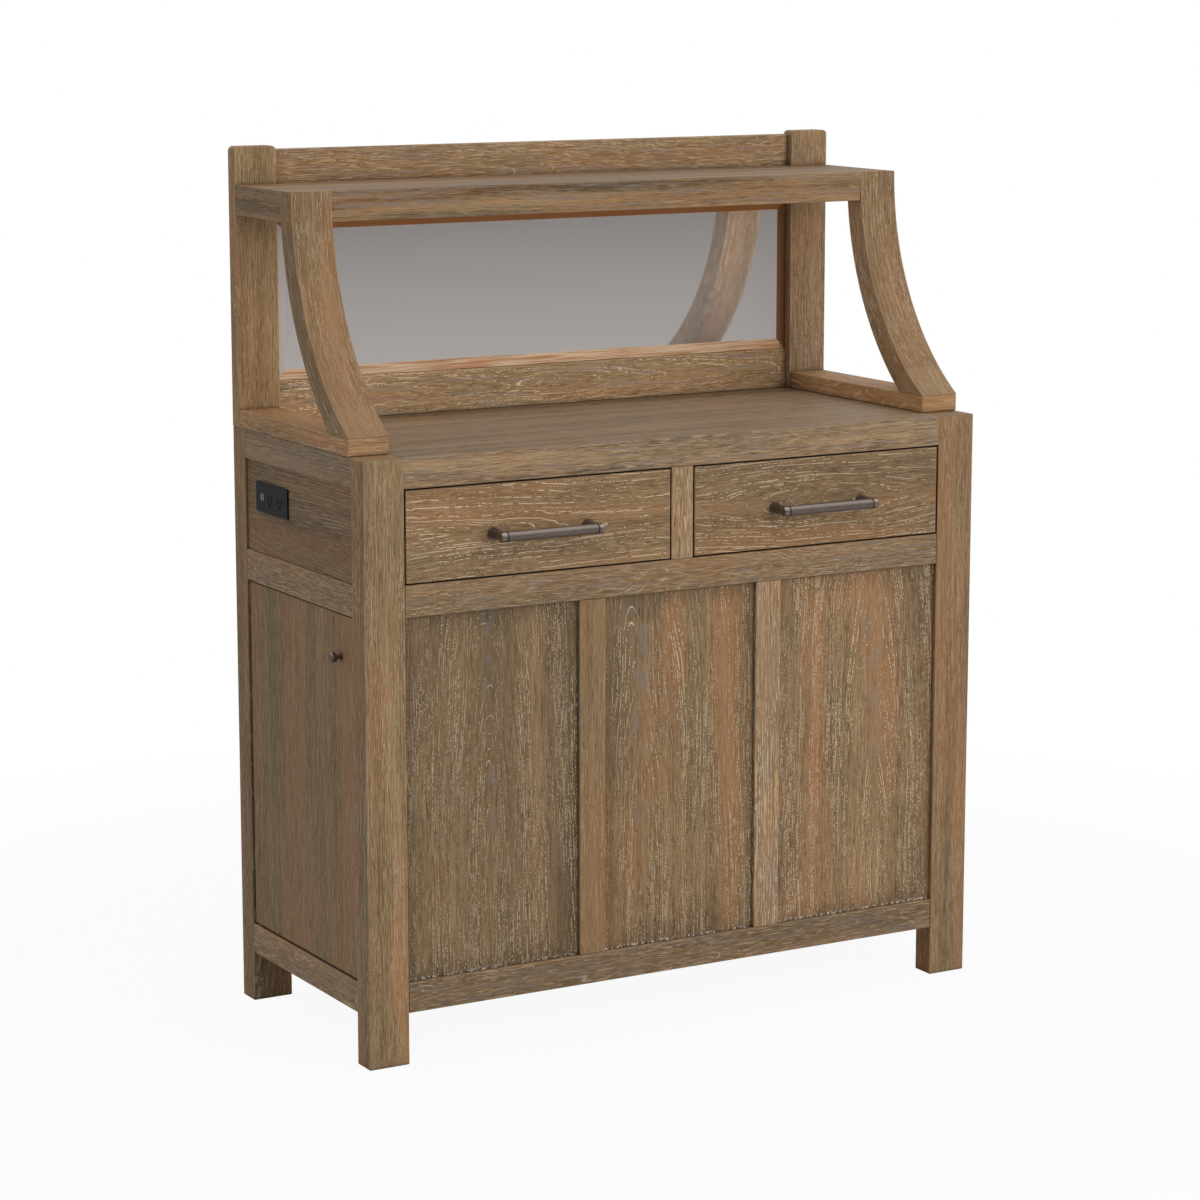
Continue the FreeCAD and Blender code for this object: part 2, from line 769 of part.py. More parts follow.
def outlet():
    """Power outlet set in the upper panel of the left end: a face plate over a closed housing."""
    plate = board("outlet_faceplate", ("door_face - outlet_plate_thickness",
                                       "back - outlet_back_inset - outlet_length",
                                       "top_under - outlet_drop - outlet_height",
                                       "outlet_plate_thickness", "outlet_length", "outlet_height"),
                  eased=False)
    fillet(plate, "outlet_corner_radius", lambda edge: runs_along(edge, "x"))
    middle = "outlet_height / 2"
    sockets = sketch_on(plate, "YZ_Plane", "UsbAndBladeSlots")
    rear = "outlet_length - usb_inset"
    slots = [(f"{rear} - {i} * usb_pitch", middle, "usb_width", "usb_height") for i in range(2)]
    for i in range(2):
        centre = f"outlet_length - socket_inset - {i} * socket_pitch"
        for hand in ("-", "+"):
            slots.append((f"{centre} {hand} blade_pitch / 2", middle, "blade_width", "blade_height"))
    for u, v, width, height in slots:
        slot(sockets, u, v, width, height)
    extrude(plate, "Pocket", sockets, "socket_depth", True)
    earths = sketch_on(plate, "YZ_Plane", "EarthHoles")
    for i in range(2):
        centre = f"outlet_length - socket_inset - {i} * socket_pitch"
        circle(earths, centre, f"{middle} - earth_drop", "earth_diameter")
    extrude(plate, "Pocket", earths, "socket_depth", True)
    keep(plate)
    keep(board("outlet_housing", HOUSING, eased=False))


def slot(sketch, u, v, width, height):
    """A rectangle about a centre, added to a sketch that may hold others."""
    near, far = f"{u} - {width} / 2", f"{u} + {width} / 2"
    low, high = f"{v} - {height} / 2", f"{v} + {height} / 2"
    outline(sketch, [(near, low), (far, low), (far, high), (near, high)])


BRACKET_CORNER = ("left", "foot_front", "foot_top")


def bracket_profile(body, name):
    """Side profile of a bracket: two arcs about one centre, upright at the shelf top, that sweep
    forward to the front end of the foot."""
    sketch = sketch_on(body, "YZ_Plane", name)
    run = "shelf_front - (foot_front)"
    rise = "shelf_top - (foot_top)"
    across, up, thick = value(run), value(rise), value("bracket_thickness")
    radius = (across ** 2 + up ** 2) / (2 * across)
    centre = FreeCAD.Vector(across - radius, up, 0)
    normal = FreeCAD.Vector(0, 0, 1)
    ends = []
    for arc_radius in (radius, radius + thick):
        low = -FreeCAD.Vector(1, 0, 0).getAngle(
            FreeCAD.Vector((arc_radius ** 2 - up ** 2) ** 0.5, -up, 0))
        arc = Part.ArcOfCircle(Part.Circle(centre, normal, arc_radius), low, 0)
        ends.append((arc, arc.StartPoint, arc.EndPoint))
    (front_arc, front_low, front_top), (back_arc, back_low, back_top) = ends
    sketch.addGeometry([front_arc, Part.LineSegment(front_top, back_top), back_arc,
                        Part.LineSegment(back_low, front_low)], False)
    joins = (("Coincident", 0, 2, 1, 1), ("Coincident", 1, 2, 2, 2), ("Coincident", 2, 1, 3, 1),
             ("Coincident", 3, 2, 0, 1), ("Coincident", 0, 3, 2, 3), ("Coincident", 0, 1, -1, 1),
             ("Horizontal", 1), ("Horizontal", 3), ("Horizontal", 0, 3, 0, 2))
    for join in joins:
        sketch.addConstraint(Sketcher.Constraint(*join))
    measure(sketch, "DistanceX", (-1, 1, 0, 2), run)
    measure(sketch, "DistanceY", (-1, 1, 0, 2), rise)
    measure(sketch, "DistanceX", (1, 1, 1, 2), "bracket_thickness")
    return sketch


def brackets():
    """Curved brackets that carry the front of the shelf."""
    for side in ("left", "right"):
        across = "left" if side == "left" else "-(left) - bracket_width"
        body = new_body(f"hutch_{side}_bracket", (across,) + BRACKET_CORNER[1:])
        extrude(body, "Pad", bracket_profile(body, "SideProfile"), "bracket_width", False)
        keep(body)


def shelf():
    """Thick shelf, notched round the bracket tops and let in between the posts."""
    body = new_body("hutch_shelf", BRACKET_CORNER)
    block(body, "Additive", ("left", "shelf_front", "shelf_under", "buffet_width",
                             "post_front - (shelf_front)", "shelf_thickness"))
    ease(body)
    for offset in ("0", "buffet_width - bracket_width"):
        notch = bracket_profile(body, "BracketNotch")
        bind(notch, "AttachmentOffset.Base.z", offset)
        extrude(body, "Pocket", notch, "bracket_width", True)
    add(body, ("post_inner", "post_front - edge_ease", "shelf_under", "hutch_run",
               "hutch_rail_recess + edge_ease", "shelf_thickness"))
    keep(body)


def hutch_frame():
    """Posts with rounded heads, foot rails, cross rails and the board behind the mirror."""
    for side in ("left", "right"):
        post = board(f"hutch_{side}_post", sided(side, POST), eased=False)
        head = value("hutch_height")
        fillet(post, "post_corner_radius", lambda edge: runs_along(edge, "y")
               and abs(edge.CenterOfMass.z - head) < NEAR_SHARE * head)
        house(post, TOP_RAIL, SPLASH_RAIL, BACK_BOARD)
        keep(post)
        keep(board(f"hutch_{side}_foot", sided(side, FOOT)))
    for name, box in (("hutch_top_rail", TOP_RAIL), ("hutch_splash_rail", SPLASH_RAIL)):
        rail = board(name, box)
        house(rail, BACK_BOARD)
        keep(rail)
    keep(board("mirror_back_board", BACK_BOARD, eased=False))


def mirror():
    """Silvered plate glass with a wide bevel ground round its front face."""
    body = new_body("mirror", ("post_inner + glass_clearance", "board_front",
                               "splash_top + glass_clearance"))
    width = "hutch_run - 2 * glass_clearance"
    height = "mirror_top - (splash_top) - 2 * glass_clearance"
    plate = [("0", "0"), (width, "0"), (width, height), ("0", height)]
    inner = [(f"{u} {a} bevel_width", f"{v} {b} bevel_width")
             for (u, v), (a, b) in zip(plate, ("++", "-+", "--", "+-"))]
    edge = "glass_thickness - bevel_depth"
    blank = sketch_on(body, "XZ_Plane", "Plate")
    outline(blank, plate)
    extrude(body, "Pad", blank, edge, False)
    loft = body.newObject("PartDesign::AdditiveLoft", "Bevel")
    sections = []
    for points, depth in ((plate, edge), (inner, "glass_thickness")):
        section = sketch_on(body, "XZ_Plane", "BevelSection")
        outline(section, points)
        bind(section, "AttachmentOffset.Base.z", depth)
        sections.append(section)
    loft.Profile = sections[0]
    loft.Sections = [sections[1]]
    loft.Ruled = True
    body.Tip = loft
    keep(body)


for end in ("left", "right"):
    legs(end)
    side_rails(end)
    drawer(end)
    door(end)
front_rails()
uprights()
panels()
case_boards()
slide_battens()
slides()
door_fittings()
outlet()
brackets()
shelf()
hutch_frame()
mirror()
doc.recompute()

for item in doc.Objects:
    if "Invalid" in item.State or "Error" in item.State:
        raise RuntimeError(f"{item.Label} failed: {item.State}")
for node in nodes:
    if node.Shape.isNull() or not node.Shape.isValid() or not node.Shape.Solids:
        raise RuntimeError(f"{node.Label} has no sound shape")

os.makedirs("parts", exist_ok=True)
for node in nodes:
    node.Shape.exportStep(f"parts/{node.Label}.step")
print(len(nodes), "nodes")
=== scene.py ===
import json
import math

import bmesh
import bpy
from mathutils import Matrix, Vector


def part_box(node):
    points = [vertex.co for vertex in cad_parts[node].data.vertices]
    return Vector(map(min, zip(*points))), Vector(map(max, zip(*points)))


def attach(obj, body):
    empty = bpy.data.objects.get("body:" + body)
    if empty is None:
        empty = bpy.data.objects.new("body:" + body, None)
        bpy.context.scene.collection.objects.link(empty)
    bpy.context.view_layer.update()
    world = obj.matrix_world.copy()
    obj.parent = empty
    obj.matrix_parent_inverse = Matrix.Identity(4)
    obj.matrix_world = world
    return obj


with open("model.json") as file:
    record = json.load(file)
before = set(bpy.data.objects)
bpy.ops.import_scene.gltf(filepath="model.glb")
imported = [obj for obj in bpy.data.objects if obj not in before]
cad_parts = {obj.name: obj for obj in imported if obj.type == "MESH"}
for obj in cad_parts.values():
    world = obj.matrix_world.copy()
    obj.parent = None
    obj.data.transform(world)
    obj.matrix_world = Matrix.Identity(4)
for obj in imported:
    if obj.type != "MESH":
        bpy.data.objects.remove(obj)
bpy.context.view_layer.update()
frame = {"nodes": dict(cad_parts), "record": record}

# Looks of the oak buffet and hutch, in metres in the CAD frame: +Z up, front towards -Y.

NODES = frame["nodes"]
SIDES = ("left", "right")
WHITE = (1.0, 1.0, 1.0, 1.0)


def srgb(red, green, blue):
    """A colour given as 0 to 255 on a screen, as the linear colour that nodes take."""
    parts = [channel / 255 for channel in (red, green, blue)]
    return (*[p / 12.92 if p <= 0.04045 else ((p + 0.055) / 1.055) ** 2.4 for p in parts], 1.0)


class Graph:
    """Short ways to add and join the nodes of one tree."""

    def __init__(self, tree):
        self.tree = tree

    def add(self, kind, inputs=(), **settings):
        """A new node with its settings made and its inputs fed."""
        node = self.tree.nodes.new("ShaderNode" + kind)
        for name, setting in settings.items():
            setattr(node, name, setting)
        for key, source in dict(inputs).items():
            self.feed(node.inputs[key], source)
        return node

    def feed(self, socket, source):
        """Link a socket to another one, or set it to a constant."""
        if isinstance(source, bpy.types.NodeSocket):
            self.tree.links.new(source, socket)
        elif source is not None:
            socket.default_value = source

    def math(self, operation, first, second=None, third=None):
        return self.add("Math", {0: first, 1: second, 2: third}, operation=operation).outputs[0]

    def hypotenuse(self, first, second):
        squares = [self.math("MULTIPLY", leg, leg) for leg in (first, second)]
        return self.math("SQRT", self.math("ADD", *squares))

    def vector(self, operation, first, second=None):
        return self.add("VectorMath", {0: first, 1: second}, operation=operation).outputs[0]

    def scaled(self, first, share):
        """A vector times a number."""
        return self.add("VectorMath", {0: first, "Scale": share}, operation="SCALE").outputs[0]

    def split(self, source):
        """The three parts of a vector."""
        return self.add("SeparateXYZ", {0: source}).outputs

    def join(self, x, y, z=None):
        """A vector from its parts."""
        return self.add("CombineXYZ", {"X": x, "Y": y, "Z": z}).outputs[0]

    def place(self):
        """The point on the surface, in its object's own frame."""
        return self.add("TexCoord").outputs["Object"]

    def facing(self):
        """The direction that the surface faces, in the same frame."""
        return self.add("TexCoord").outputs["Normal"]

    def noise(self, place, cells, detail=2.0, roughness=0.5):
        """Noise whose cells have a size along each axis, given as cells per metre."""
        stretched = self.vector("MULTIPLY", place, cells)
        return self.add("TexNoise", {"Vector": stretched, "Scale": 1.0, "Detail": detail,
                                     "Roughness": roughness}).outputs

    def swing(self, level):
        """A level of noise, which lies about one half, as a swing about zero."""
        return self.math("SUBTRACT", level, 0.5)

    def ramp(self, source, low, high, start=0.0, end=1.0):
        """A smooth step from start to end as the source goes from low to high."""
        node = self.add("MapRange", {"Value": source, "From Min": low, "From Max": high,
                                     "To Min": start, "To Max": end}, interpolation_type="SMOOTHSTEP")
        return node.outputs["Result"]

    def mix(self, share, first, second, kind="Color"):
        """A blend of two colours, or of two vectors where kind is Vector."""
        node = self.add("Mix", data_type={"Color": "RGBA", "Vector": "VECTOR"}[kind])
        sockets = {socket.identifier: socket for socket in node.inputs}
        self.feed(sockets["Factor_Float"], share)
        self.feed(sockets["A_" + kind], first)
        self.feed(sockets["B_" + kind], second)
        return next(socket for socket in node.outputs if socket.identifier == "Result_" + kind)

    def openness(self, distance):
        """1 in the open, less where other faces stand within the distance."""
        return self.add("AmbientOcclusion", {"Distance": distance}, samples=4).outputs["AO"]

    def bump(self, height, strength, distance):
        inputs = {"Height": height, "Strength": strength, "Distance": distance}
        return self.add("Bump", inputs).outputs[0]


# Brushed oak

OAK_INPUTS = {
    # name: default; lengths in metres, counts per metre, the rest shares and factors
    "Seed": 0.0,  # which piece of the log
    "Warmth": 0.0,  # above 0 towards orange, below 0 towards olive
    "Light": 1.0,  # factor on the colour, set per board: partly its own tone, partly painted light and shade
    "Bands": 0.45,  # contrast of the wide bands along the board
    "Fibre": 0.75,  # contrast of the fibres, strength of their pale streaks, and how far they wave
    "Streak": 0.2,
    "Wave": 0.001,
    "Lines": 0.5,  # long wax lines, their breaks per metre and the noise level where they start
    "Run": 30.0,
    "Cover": 0.55,
    "Dots": 0.5,  # short wax dashes, and their breaks per metre
    "Grit": 190.0,
    "Smears": 0.3,  # grey smears where the cut runs flat, and grey streaks anywhere
    "Weather": 0.0,
    "Shade": 0.0,  # painted shade along the edges of a panel, as if it sat deep in its frame
    "Pith": 0.0,  # where the middle of the log lies across the board, and how far behind its face
    "Depth": 0.05,
    "Slope": 0.06,  # lean of the log along the board
    "Ring": 0.005,  # distance between rings, and how many rings they wander
    "Wobble": 0.5,
    "Strip": 1.0,  # width of the veneer strips
    "Wear": 0.5,  # rubbed arrises
    "Scuff": 0.0,  # chipped finish along the foot of a panel
}

PATTERNS = {
    # noise: offset that sets it apart from the rest, cells per metre along and across the board,
    # detail and roughness
    "wander": ((0.0, 0.0, 0.0), (1.9, 6.0), 2.0, 0.5),  # of the middle of the log
    "ripple": ((0.0, 0.0, 0.0), (22.0, 40.0), 2.0, 0.5),  # of the rings
    "sway": ((0.4, 3.3, 1.1), (14.0, 48.0), 1.0, 0.5),  # of the fibres
    "fibre": ((0.0, 0.0, 0.0), (8.0, 720.0), 2.0, 0.5),
    "hair": ((0.0, 0.0, 0.0), (50.0, 1000.0), 1.0, 0.5),  # shorter and finer fibres
    "band": ((0.0, 0.0, 0.0), (1.2, 44.0), 2.0, 0.6),
    "hue": ((5.3, 0.9, 2.2), (1.3, 16.0), 2.0, 0.5),
    "pale": ((2.7, 4.1, 0.3), (30.0, 780.0), 2.0, 0.5),  # streaks among the fibres
    "cloud": ((3.1, 1.7, 4.3), (4.0, 16.0), 2.0, 0.5),  # wide patches
    "blot": ((7.7, 2.9, 6.1), (30.0, 85.0), 2.0, 0.5),  # smears
    "worn": ((6.3, 1.1, 8.9), (9.0, 260.0), 2.0, 0.5),  # grey streaks
    "cluster": ((1.9, 8.3, 0.7), (5.0, 34.0), 1.0, 0.5),  # of the short dashes
    "chip": ((0.0, 0.0, 0.0), (260.0, 210.0), 2.0, 0.5),
}
STEPS = {
    # levels of a pattern between which it sets in, and its strength before and after
    "pale": (0.53, 0.6),
    "blot": (0.5, 0.66),
    "worn": (0.5, 0.62),
    "chip": (0.52, 0.6),
    "cloud": (0.36, 0.5),
    "cluster": (0.26, 0.62, 0.15, 1.0),
}
SEED_SHIFT = (1.37, 2.11, 0.73)  # how far one seed lies from the next in the noise
HALF = (0.5, 0.5, 0.5)  # middle of a noise's colour

LOG_SWAY, LOG_DIP = 0.05, 0.06  # how far the middle of the log strays sideways and in depth
DEPTH_SHARE = 0.15  # share of the depth in the pace of the rings across a face
FLAT_CUT = (0.7, 0.15)  # slope of the rings on the face, from none of the smears to all of them
SWAY_REACH = (0.0, 4.0, 4.0)  # the fibres wave across the board, not along it

STAIN = (srgb(76, 57, 37), srgb(171, 139, 101))
STAIN_LEVEL = 0.15  # tone of plain wood within the range of the stain
STAIN_RANGE = (-0.25, 0.65)
STRIP_SHIFT = 0.37  # of the first veneer strip, from one seed to the next
STRIP_TONE, STRIP_HUE = 0.06, 0.07  # how far the strips differ
CLOUD_TONE, CLOUD_HUE = 0.12, 0.5  # what the wide patches add
HUE_GAIN = 1.25
ORANGE = srgb(176, 122, 76)
ORANGE_STEP = (0.68, 1.12, 0.0, 0.45)  # hue where the orange starts and is full, and its share there
OLIVE = srgb(112, 98, 66)
OLIVE_STEP = (0.82, 0.45, 0.0, 0.4)
PALE = srgb(196, 168, 131)
GREY = srgb(140, 126, 116)

LONG_WAX = (1.0, 0.0012)  # lines per ring, and their width
SHORT_WAX = (1.9, 0.0013)
SHORT_COVER = 0.38
WAX = srgb(236, 218, 190)

TONGUE = 0.008  # the part of a panel's edge that is hidden in its groove
# colour of the painted shade along the edges of a panel
SHADE = srgb(72, 60, 39)
SHADE_REACH, SHADE_STRAY = 0.045, 0.05  # from the groove inwards, and how far that varies
RUBBED = srgb(190, 160, 124)
RUB_REACH, RUB_STRAY = 0.0035, 0.006  # from an arris inwards, and how far that varies
RUB_SHARE = 0.5
CHIPPED = srgb(226, 216, 200)
CHIP_START, CHIP_FULL = 0.006, 0.001  # above the groove
# painted shade in corners and creases: its colour, and the reach of the openness that sets it
CORNER_SHADE = srgb(38, 28, 18)
CORNER_SHADE_REACH = 0.014
CORNER_SHADE_STEP = (0.8, 0.35, 0.0, 0.75)  # openness where the painted shade starts and is full, and its share there

ROUGH, FIBRE_ROUGH, WAX_ROUGH = 0.5, 0.2, 0.15  # plain wood, and what fibres and wax add to it
WAX_DIP = -0.5  # the wax lies lower than the fibres
RELIEF = (0.35, 0.0006)  # strength and height of the brushed fibres


def oak_sockets(tree):
    """The sockets of the oak group."""
    face = tree.interface
    for name in ("Grain", "Half"):
        face.new_socket(name, in_out="INPUT", socket_type="NodeSocketVector")
    for name, default in OAK_INPUTS.items():
        face.new_socket(name, in_out="INPUT", socket_type="NodeSocketFloat").default_value = default
    for name, kind in (("Color", "Color"), ("Roughness", "Float"), ("Normal", "Vector")):
        face.new_socket(name, in_out="OUTPUT", socket_type="NodeSocket" + kind)


def pattern(graph, place, name):
    """One noise of the oak: its Fac is a level about one half, its Color three of them."""
    offset, (along, across), detail, roughness = PATTERNS[name]
    return graph.noise(graph.vector("ADD", place, offset), (along, across, across), detail, roughness)


class Rings:
    """Growth rings of a leaning, wavy log, cut flat by the faces of a board."""

    LANE = (0.5, 0.25)  # spread of the lines within their lanes, and its start
    WIDEST = 0.24  # greatest half width of a line, as a share of its lane
    CORE = 0.55  # share of a line's width that is full
    PACE = (1.2, 0.5)  # spread of the pace of breaks among the lines, and the least pace
    LINE_STEP, SEED_STEP = 5.37, 3.3  # how far one line and one seed lie from the next in the noise
    SLOW = (0.11, 1.0, 1.0)  # stretch of the noise that leaves out whole runs of dashes
    LUCK, RARITY = 0.4, 0.6  # how much more some lines show than others
    FADE = 0.05  # rise of the noise from a break to a full dash

    def __init__(self, graph, given, place):
        self.graph, self.given = graph, given
        self.along, across, depth = graph.split(given["Grain"])
        wander = graph.vector("SUBTRACT", pattern(graph, place, "wander")["Color"], HALF)
        sway, dip, _ = graph.split(wander)
        side = graph.math("MULTIPLY_ADD", sway, LOG_SWAY, graph.math("SUBTRACT", across, given["Pith"]))
        behind = graph.math("ADD", depth, given["Depth"])
        lean = graph.math("MULTIPLY_ADD", self.along, given["Slope"], behind)
        deep = graph.math("MULTIPLY_ADD", dip, LOG_DIP, lean)
        radius = graph.hypotenuse(side, deep)
        ripple = graph.swing(pattern(graph, place, "ripple")["Fac"])
        even = graph.math("DIVIDE", radius, given["Ring"])
        self.count = graph.math("MULTIPLY_ADD", ripple, given["Wobble"], even)
        rise = graph.hypotenuse(side, graph.math("MULTIPLY", deep, DEPTH_SHARE))
        self.steep = graph.math("DIVIDE", rise, graph.math("MULTIPLY", radius, given["Ring"]))
        bent = graph.math("DIVIDE", graph.math("ABSOLUTE", side), graph.math("ABSOLUTE", deep))
        self.flat = graph.ramp(bent, *FLAT_CUT)

    def lines(self, share, width, run, cover):
        """Broken lines along the rings: share of them per ring, width, and breaks per metre.

        Every line has its own offset, its own length of dash and its own share that shows.
        """
        graph = self.graph
        count = graph.math("MULTIPLY", self.count, share)
        index = graph.math("FLOOR", count)
        key = graph.join(index, graph.math("ADD", self.given["Seed"], share))
        luck = graph.add("TexWhiteNoise", {"Vector": key}, noise_dimensions="2D").outputs["Color"]
        shift, plenty, length = graph.split(luck)
        middle = graph.math("MULTIPLY_ADD", shift, *self.LANE)
        off = graph.math("ABSOLUTE", graph.math("SUBTRACT", graph.math("FRACT", count), middle))
        half_width = graph.math("MULTIPLY", self.steep, width * share / 2)
        reach = graph.math("MINIMUM", half_width, self.WIDEST)
        line = graph.ramp(off, reach, graph.math("MULTIPLY", reach, self.CORE))
        pace = graph.math("MULTIPLY", run, graph.math("MULTIPLY_ADD", length, *self.PACE))
        spot = graph.join(graph.math("MULTIPLY", self.along, pace),
                          graph.math("MULTIPLY", index, self.LINE_STEP),
                          graph.math("MULTIPLY", self.given["Seed"], self.SEED_STEP))
        gate = graph.add("TexNoise", {"Vector": spot, "Scale": 1.0, "Detail": 1.0}).outputs["Fac"]
        slow = graph.vector("MULTIPLY", spot, self.SLOW)
        slow = graph.add("TexNoise", {"Vector": slow, "Scale": 1.0, "Detail": 0.0}).outputs["Fac"]
        rare = graph.math("SUBTRACT", 1.0, graph.math("MULTIPLY_ADD", plenty, self.LUCK, slow))
        level = graph.math("MULTIPLY_ADD", rare, self.RARITY, cover)
        dash = graph.ramp(gate, level, graph.math("ADD", level, self.FADE))
        return graph.math("MULTIPLY", line, dash)


def wood_tone(graph, given, place, cloud):
    """The fibres, and the stained wood without its wax."""
    across = graph.split(given["Grain"])[1]
    strip = graph.math("DIVIDE", across, given["Strip"])
    strip = graph.math("MULTIPLY_ADD", given["Seed"], STRIP_SHIFT, strip)
    key = graph.math("ADD", graph.math("FLOOR", strip), given["Seed"])
    lot = graph.add("TexWhiteNoise", {"W": key}, noise_dimensions="1D").outputs["Value"]
    sway = graph.vector("SUBTRACT", pattern(graph, place, "sway")["Color"], HALF)
    bend = graph.scaled(graph.vector("MULTIPLY", sway, SWAY_REACH), given["Wave"])
    wavy = graph.vector("ADD", place, bend)
    fibre = pattern(graph, wavy, "fibre")["Fac"]
    hair = pattern(graph, wavy, "hair")["Fac"]
    fine = graph.math("ADD", graph.swing(fibre), graph.swing(hair))
    band = graph.swing(pattern(graph, place, "band")["Fac"])
    tone = graph.math("MULTIPLY_ADD", band, given["Bands"], STAIN_LEVEL)
    tone = graph.math("MULTIPLY_ADD", fine, given["Fibre"], tone)
    tone = graph.math("MULTIPLY_ADD", lot, STRIP_TONE, tone)
    tone = graph.math("MULTIPLY_ADD", cloud, CLOUD_TONE, tone)
    wood = graph.mix(graph.ramp(tone, *STAIN_RANGE), *STAIN)
    hue = graph.math("MULTIPLY_ADD", pattern(graph, place, "hue")["Fac"], HUE_GAIN, (1 - HUE_GAIN) / 2)
    hue = graph.math("ADD", graph.math("MULTIPLY_ADD", cloud, CLOUD_HUE, hue), given["Warmth"])
    hue = graph.math("MULTIPLY_ADD", graph.swing(lot), STRIP_HUE, hue)
    wood = graph.mix(graph.ramp(hue, *ORANGE_STEP), wood, ORANGE)
    wood = graph.mix(graph.ramp(hue, *OLIVE_STEP), wood, OLIVE)
    pale = graph.ramp(pattern(graph, wavy, "pale")["Fac"], *STEPS["pale"])
    return fibre, graph.mix(graph.math("MULTIPLY", pale, given["Streak"]), wood, PALE)


def brushed_oak():
    """Node group: stained, wire-brushed oak whose open pores are filled with pale wax.

    Grain comes in as (along, across, depth) from the middle of the board, Half as its half sizes.
    """
    tree = bpy.data.node_groups.new("brushed_oak", "ShaderNodeTree")
    oak_sockets(tree)
    graph = Graph(tree)
    given = tree.nodes.new("NodeGroupInput").outputs
    made = tree.nodes.new("NodeGroupOutput").inputs
    place = graph.vector("ADD", given["Grain"], graph.scaled(SEED_SHIFT, given["Seed"]))
    rings = Rings(graph, given, place)
    cloud = pattern(graph, place, "cloud")["Fac"]
    fibre, wood = wood_tone(graph, given, place, cloud)

    # grey smears where the cut runs flat along the rings, and grey streaks along worn boards
    blot = pattern(graph, place, "blot")["Fac"]
    smear = graph.math("MULTIPLY", graph.ramp(blot, *STEPS["blot"]), rings.flat)
    worn = graph.ramp(pattern(graph, place, "worn")["Fac"], *STEPS["worn"])
    worn = graph.math("MULTIPLY", worn, given["Weather"])
    wood = graph.mix(graph.math("MULTIPLY_ADD", smear, given["Smears"], worn), wood, GREY)

    # painted shade along the edges of a panel, as if it sat deep in its frame
    gap = graph.vector("SUBTRACT", given["Half"], graph.vector("ABSOLUTE", given["Grain"]))
    from_end, from_side, from_face = graph.split(gap)
    nearer = graph.math("MINIMUM", from_end, from_side)
    farther = graph.math("MAXIMUM", from_end, from_side)
    margin = graph.math("MULTIPLY_ADD", graph.swing(cloud), SHADE_STRAY, nearer)
    shade = graph.math("MULTIPLY", graph.ramp(margin, TONGUE + SHADE_REACH, TONGUE), given["Shade"])
    wood = graph.mix(shade, wood, SHADE)

    # wax in the pores: long broken lines, and short dashes in clusters
    long = rings.lines(*LONG_WAX, given["Run"], given["Cover"])
    long = graph.math("MULTIPLY", long, graph.ramp(cloud, *STEPS["cloud"]))
    short = rings.lines(*SHORT_WAX, given["Grit"], SHORT_COVER)
    patch = graph.ramp(pattern(graph, place, "cluster")["Fac"], *STEPS["cluster"])
    short = graph.math("MULTIPLY", short, patch)
    wax = graph.math("MAXIMUM", graph.math("MULTIPLY", long, given["Lines"]),
                     graph.math("MULTIPLY", short, given["Dots"]))
    wood = graph.mix(wax, wood, WAX)

    # rubbed arrises: the middle one of the three distances to the faces is that to the nearest edge
    edge = graph.math("MAXIMUM", nearer, graph.math("MINIMUM", farther, from_face))
    edge = graph.math("MULTIPLY_ADD", graph.swing(blot), RUB_STRAY, edge)
    rub = graph.math("MULTIPLY", graph.ramp(edge, RUB_REACH, 0.0, 0.0, RUB_SHARE), given["Wear"])
    wood = graph.mix(rub, wood, RUBBED)

    # painted shade: darker in corners and creases, where other faces stand close
    wood = graph.mix(graph.ramp(graph.openness(CORNER_SHADE_REACH), *CORNER_SHADE_STEP), wood, CORNER_SHADE)

    # chipped, pale foot of a panel
    foot = graph.math("ADD", rings.along, graph.split(given["Half"])[0])
    low = graph.ramp(foot, TONGUE + CHIP_START, TONGUE + CHIP_FULL)
    chip = graph.math("MULTIPLY", graph.ramp(pattern(graph, place, "chip")["Fac"], *STEPS["chip"]), low)
    wood = graph.mix(graph.math("MULTIPLY", chip, given["Scuff"]), wood, CHIPPED)

    graph.feed(made["Color"], graph.scaled(wood, given["Light"]))
    rough = graph.math("MULTIPLY_ADD", fibre, FIBRE_ROUGH, ROUGH)
    graph.feed(made["Roughness"], graph.math("MULTIPLY_ADD", wax, WAX_ROUGH, rough))
    graph.feed(made["Normal"], graph.bump(graph.math("MULTIPLY_ADD", wax, WAX_DIP, fibre), *RELIEF))
    return tree


# Boards of oak

OAK = brushed_oak()
BRACKET_THICK = 0.039  # radial thickness of the curved brackets, as in the CAD
END_FACING = 0.6  # a face that looks along the board by more than this is its end
FACE_LIGHT_FACING = (0.5, 0.9)  # painted light: how squarely a face looks up or back, from its board's light to its own

LEG = dict(Lines=0.2, Run=60.0, Cover=0.5, Dots=0.3, Grit=80.0, Smears=0.1, Pith=0.09, Depth=0.05,
           Slope=0.02, Ring=0.0045, Warmth=0.05, Streak=0.3, Wobble=0.3)
RAIL = dict(Lines=0.4, Run=70.0, Dots=0.4, Grit=120.0, Smears=0.2, Depth=0.06, Slope=0.04,
            Ring=0.0045, Wobble=1.2, Streak=0.8, Wave=0.002, Weather=0.45)
PANEL = dict(Fibre=1.0, Lines=0.5, Run=150.0, Cover=0.52, Dots=0.7, Grit=330.0, Smears=0.7, Depth=0.03,
             Slope=0.1, Ring=0.005, Strip=0.06, Scuff=0.9, Wobble=0.3, Streak=0.22, Shade=0.4)
DRAWER = dict(Lines=0.8, Run=75.0, Cover=0.3, Dots=0.75, Grit=240.0, Smears=0.1, Depth=0.03,
              Slope=0.05, Ring=0.0085, Warmth=0.03, Wobble=0.7, Wave=0.003, Streak=0.3)
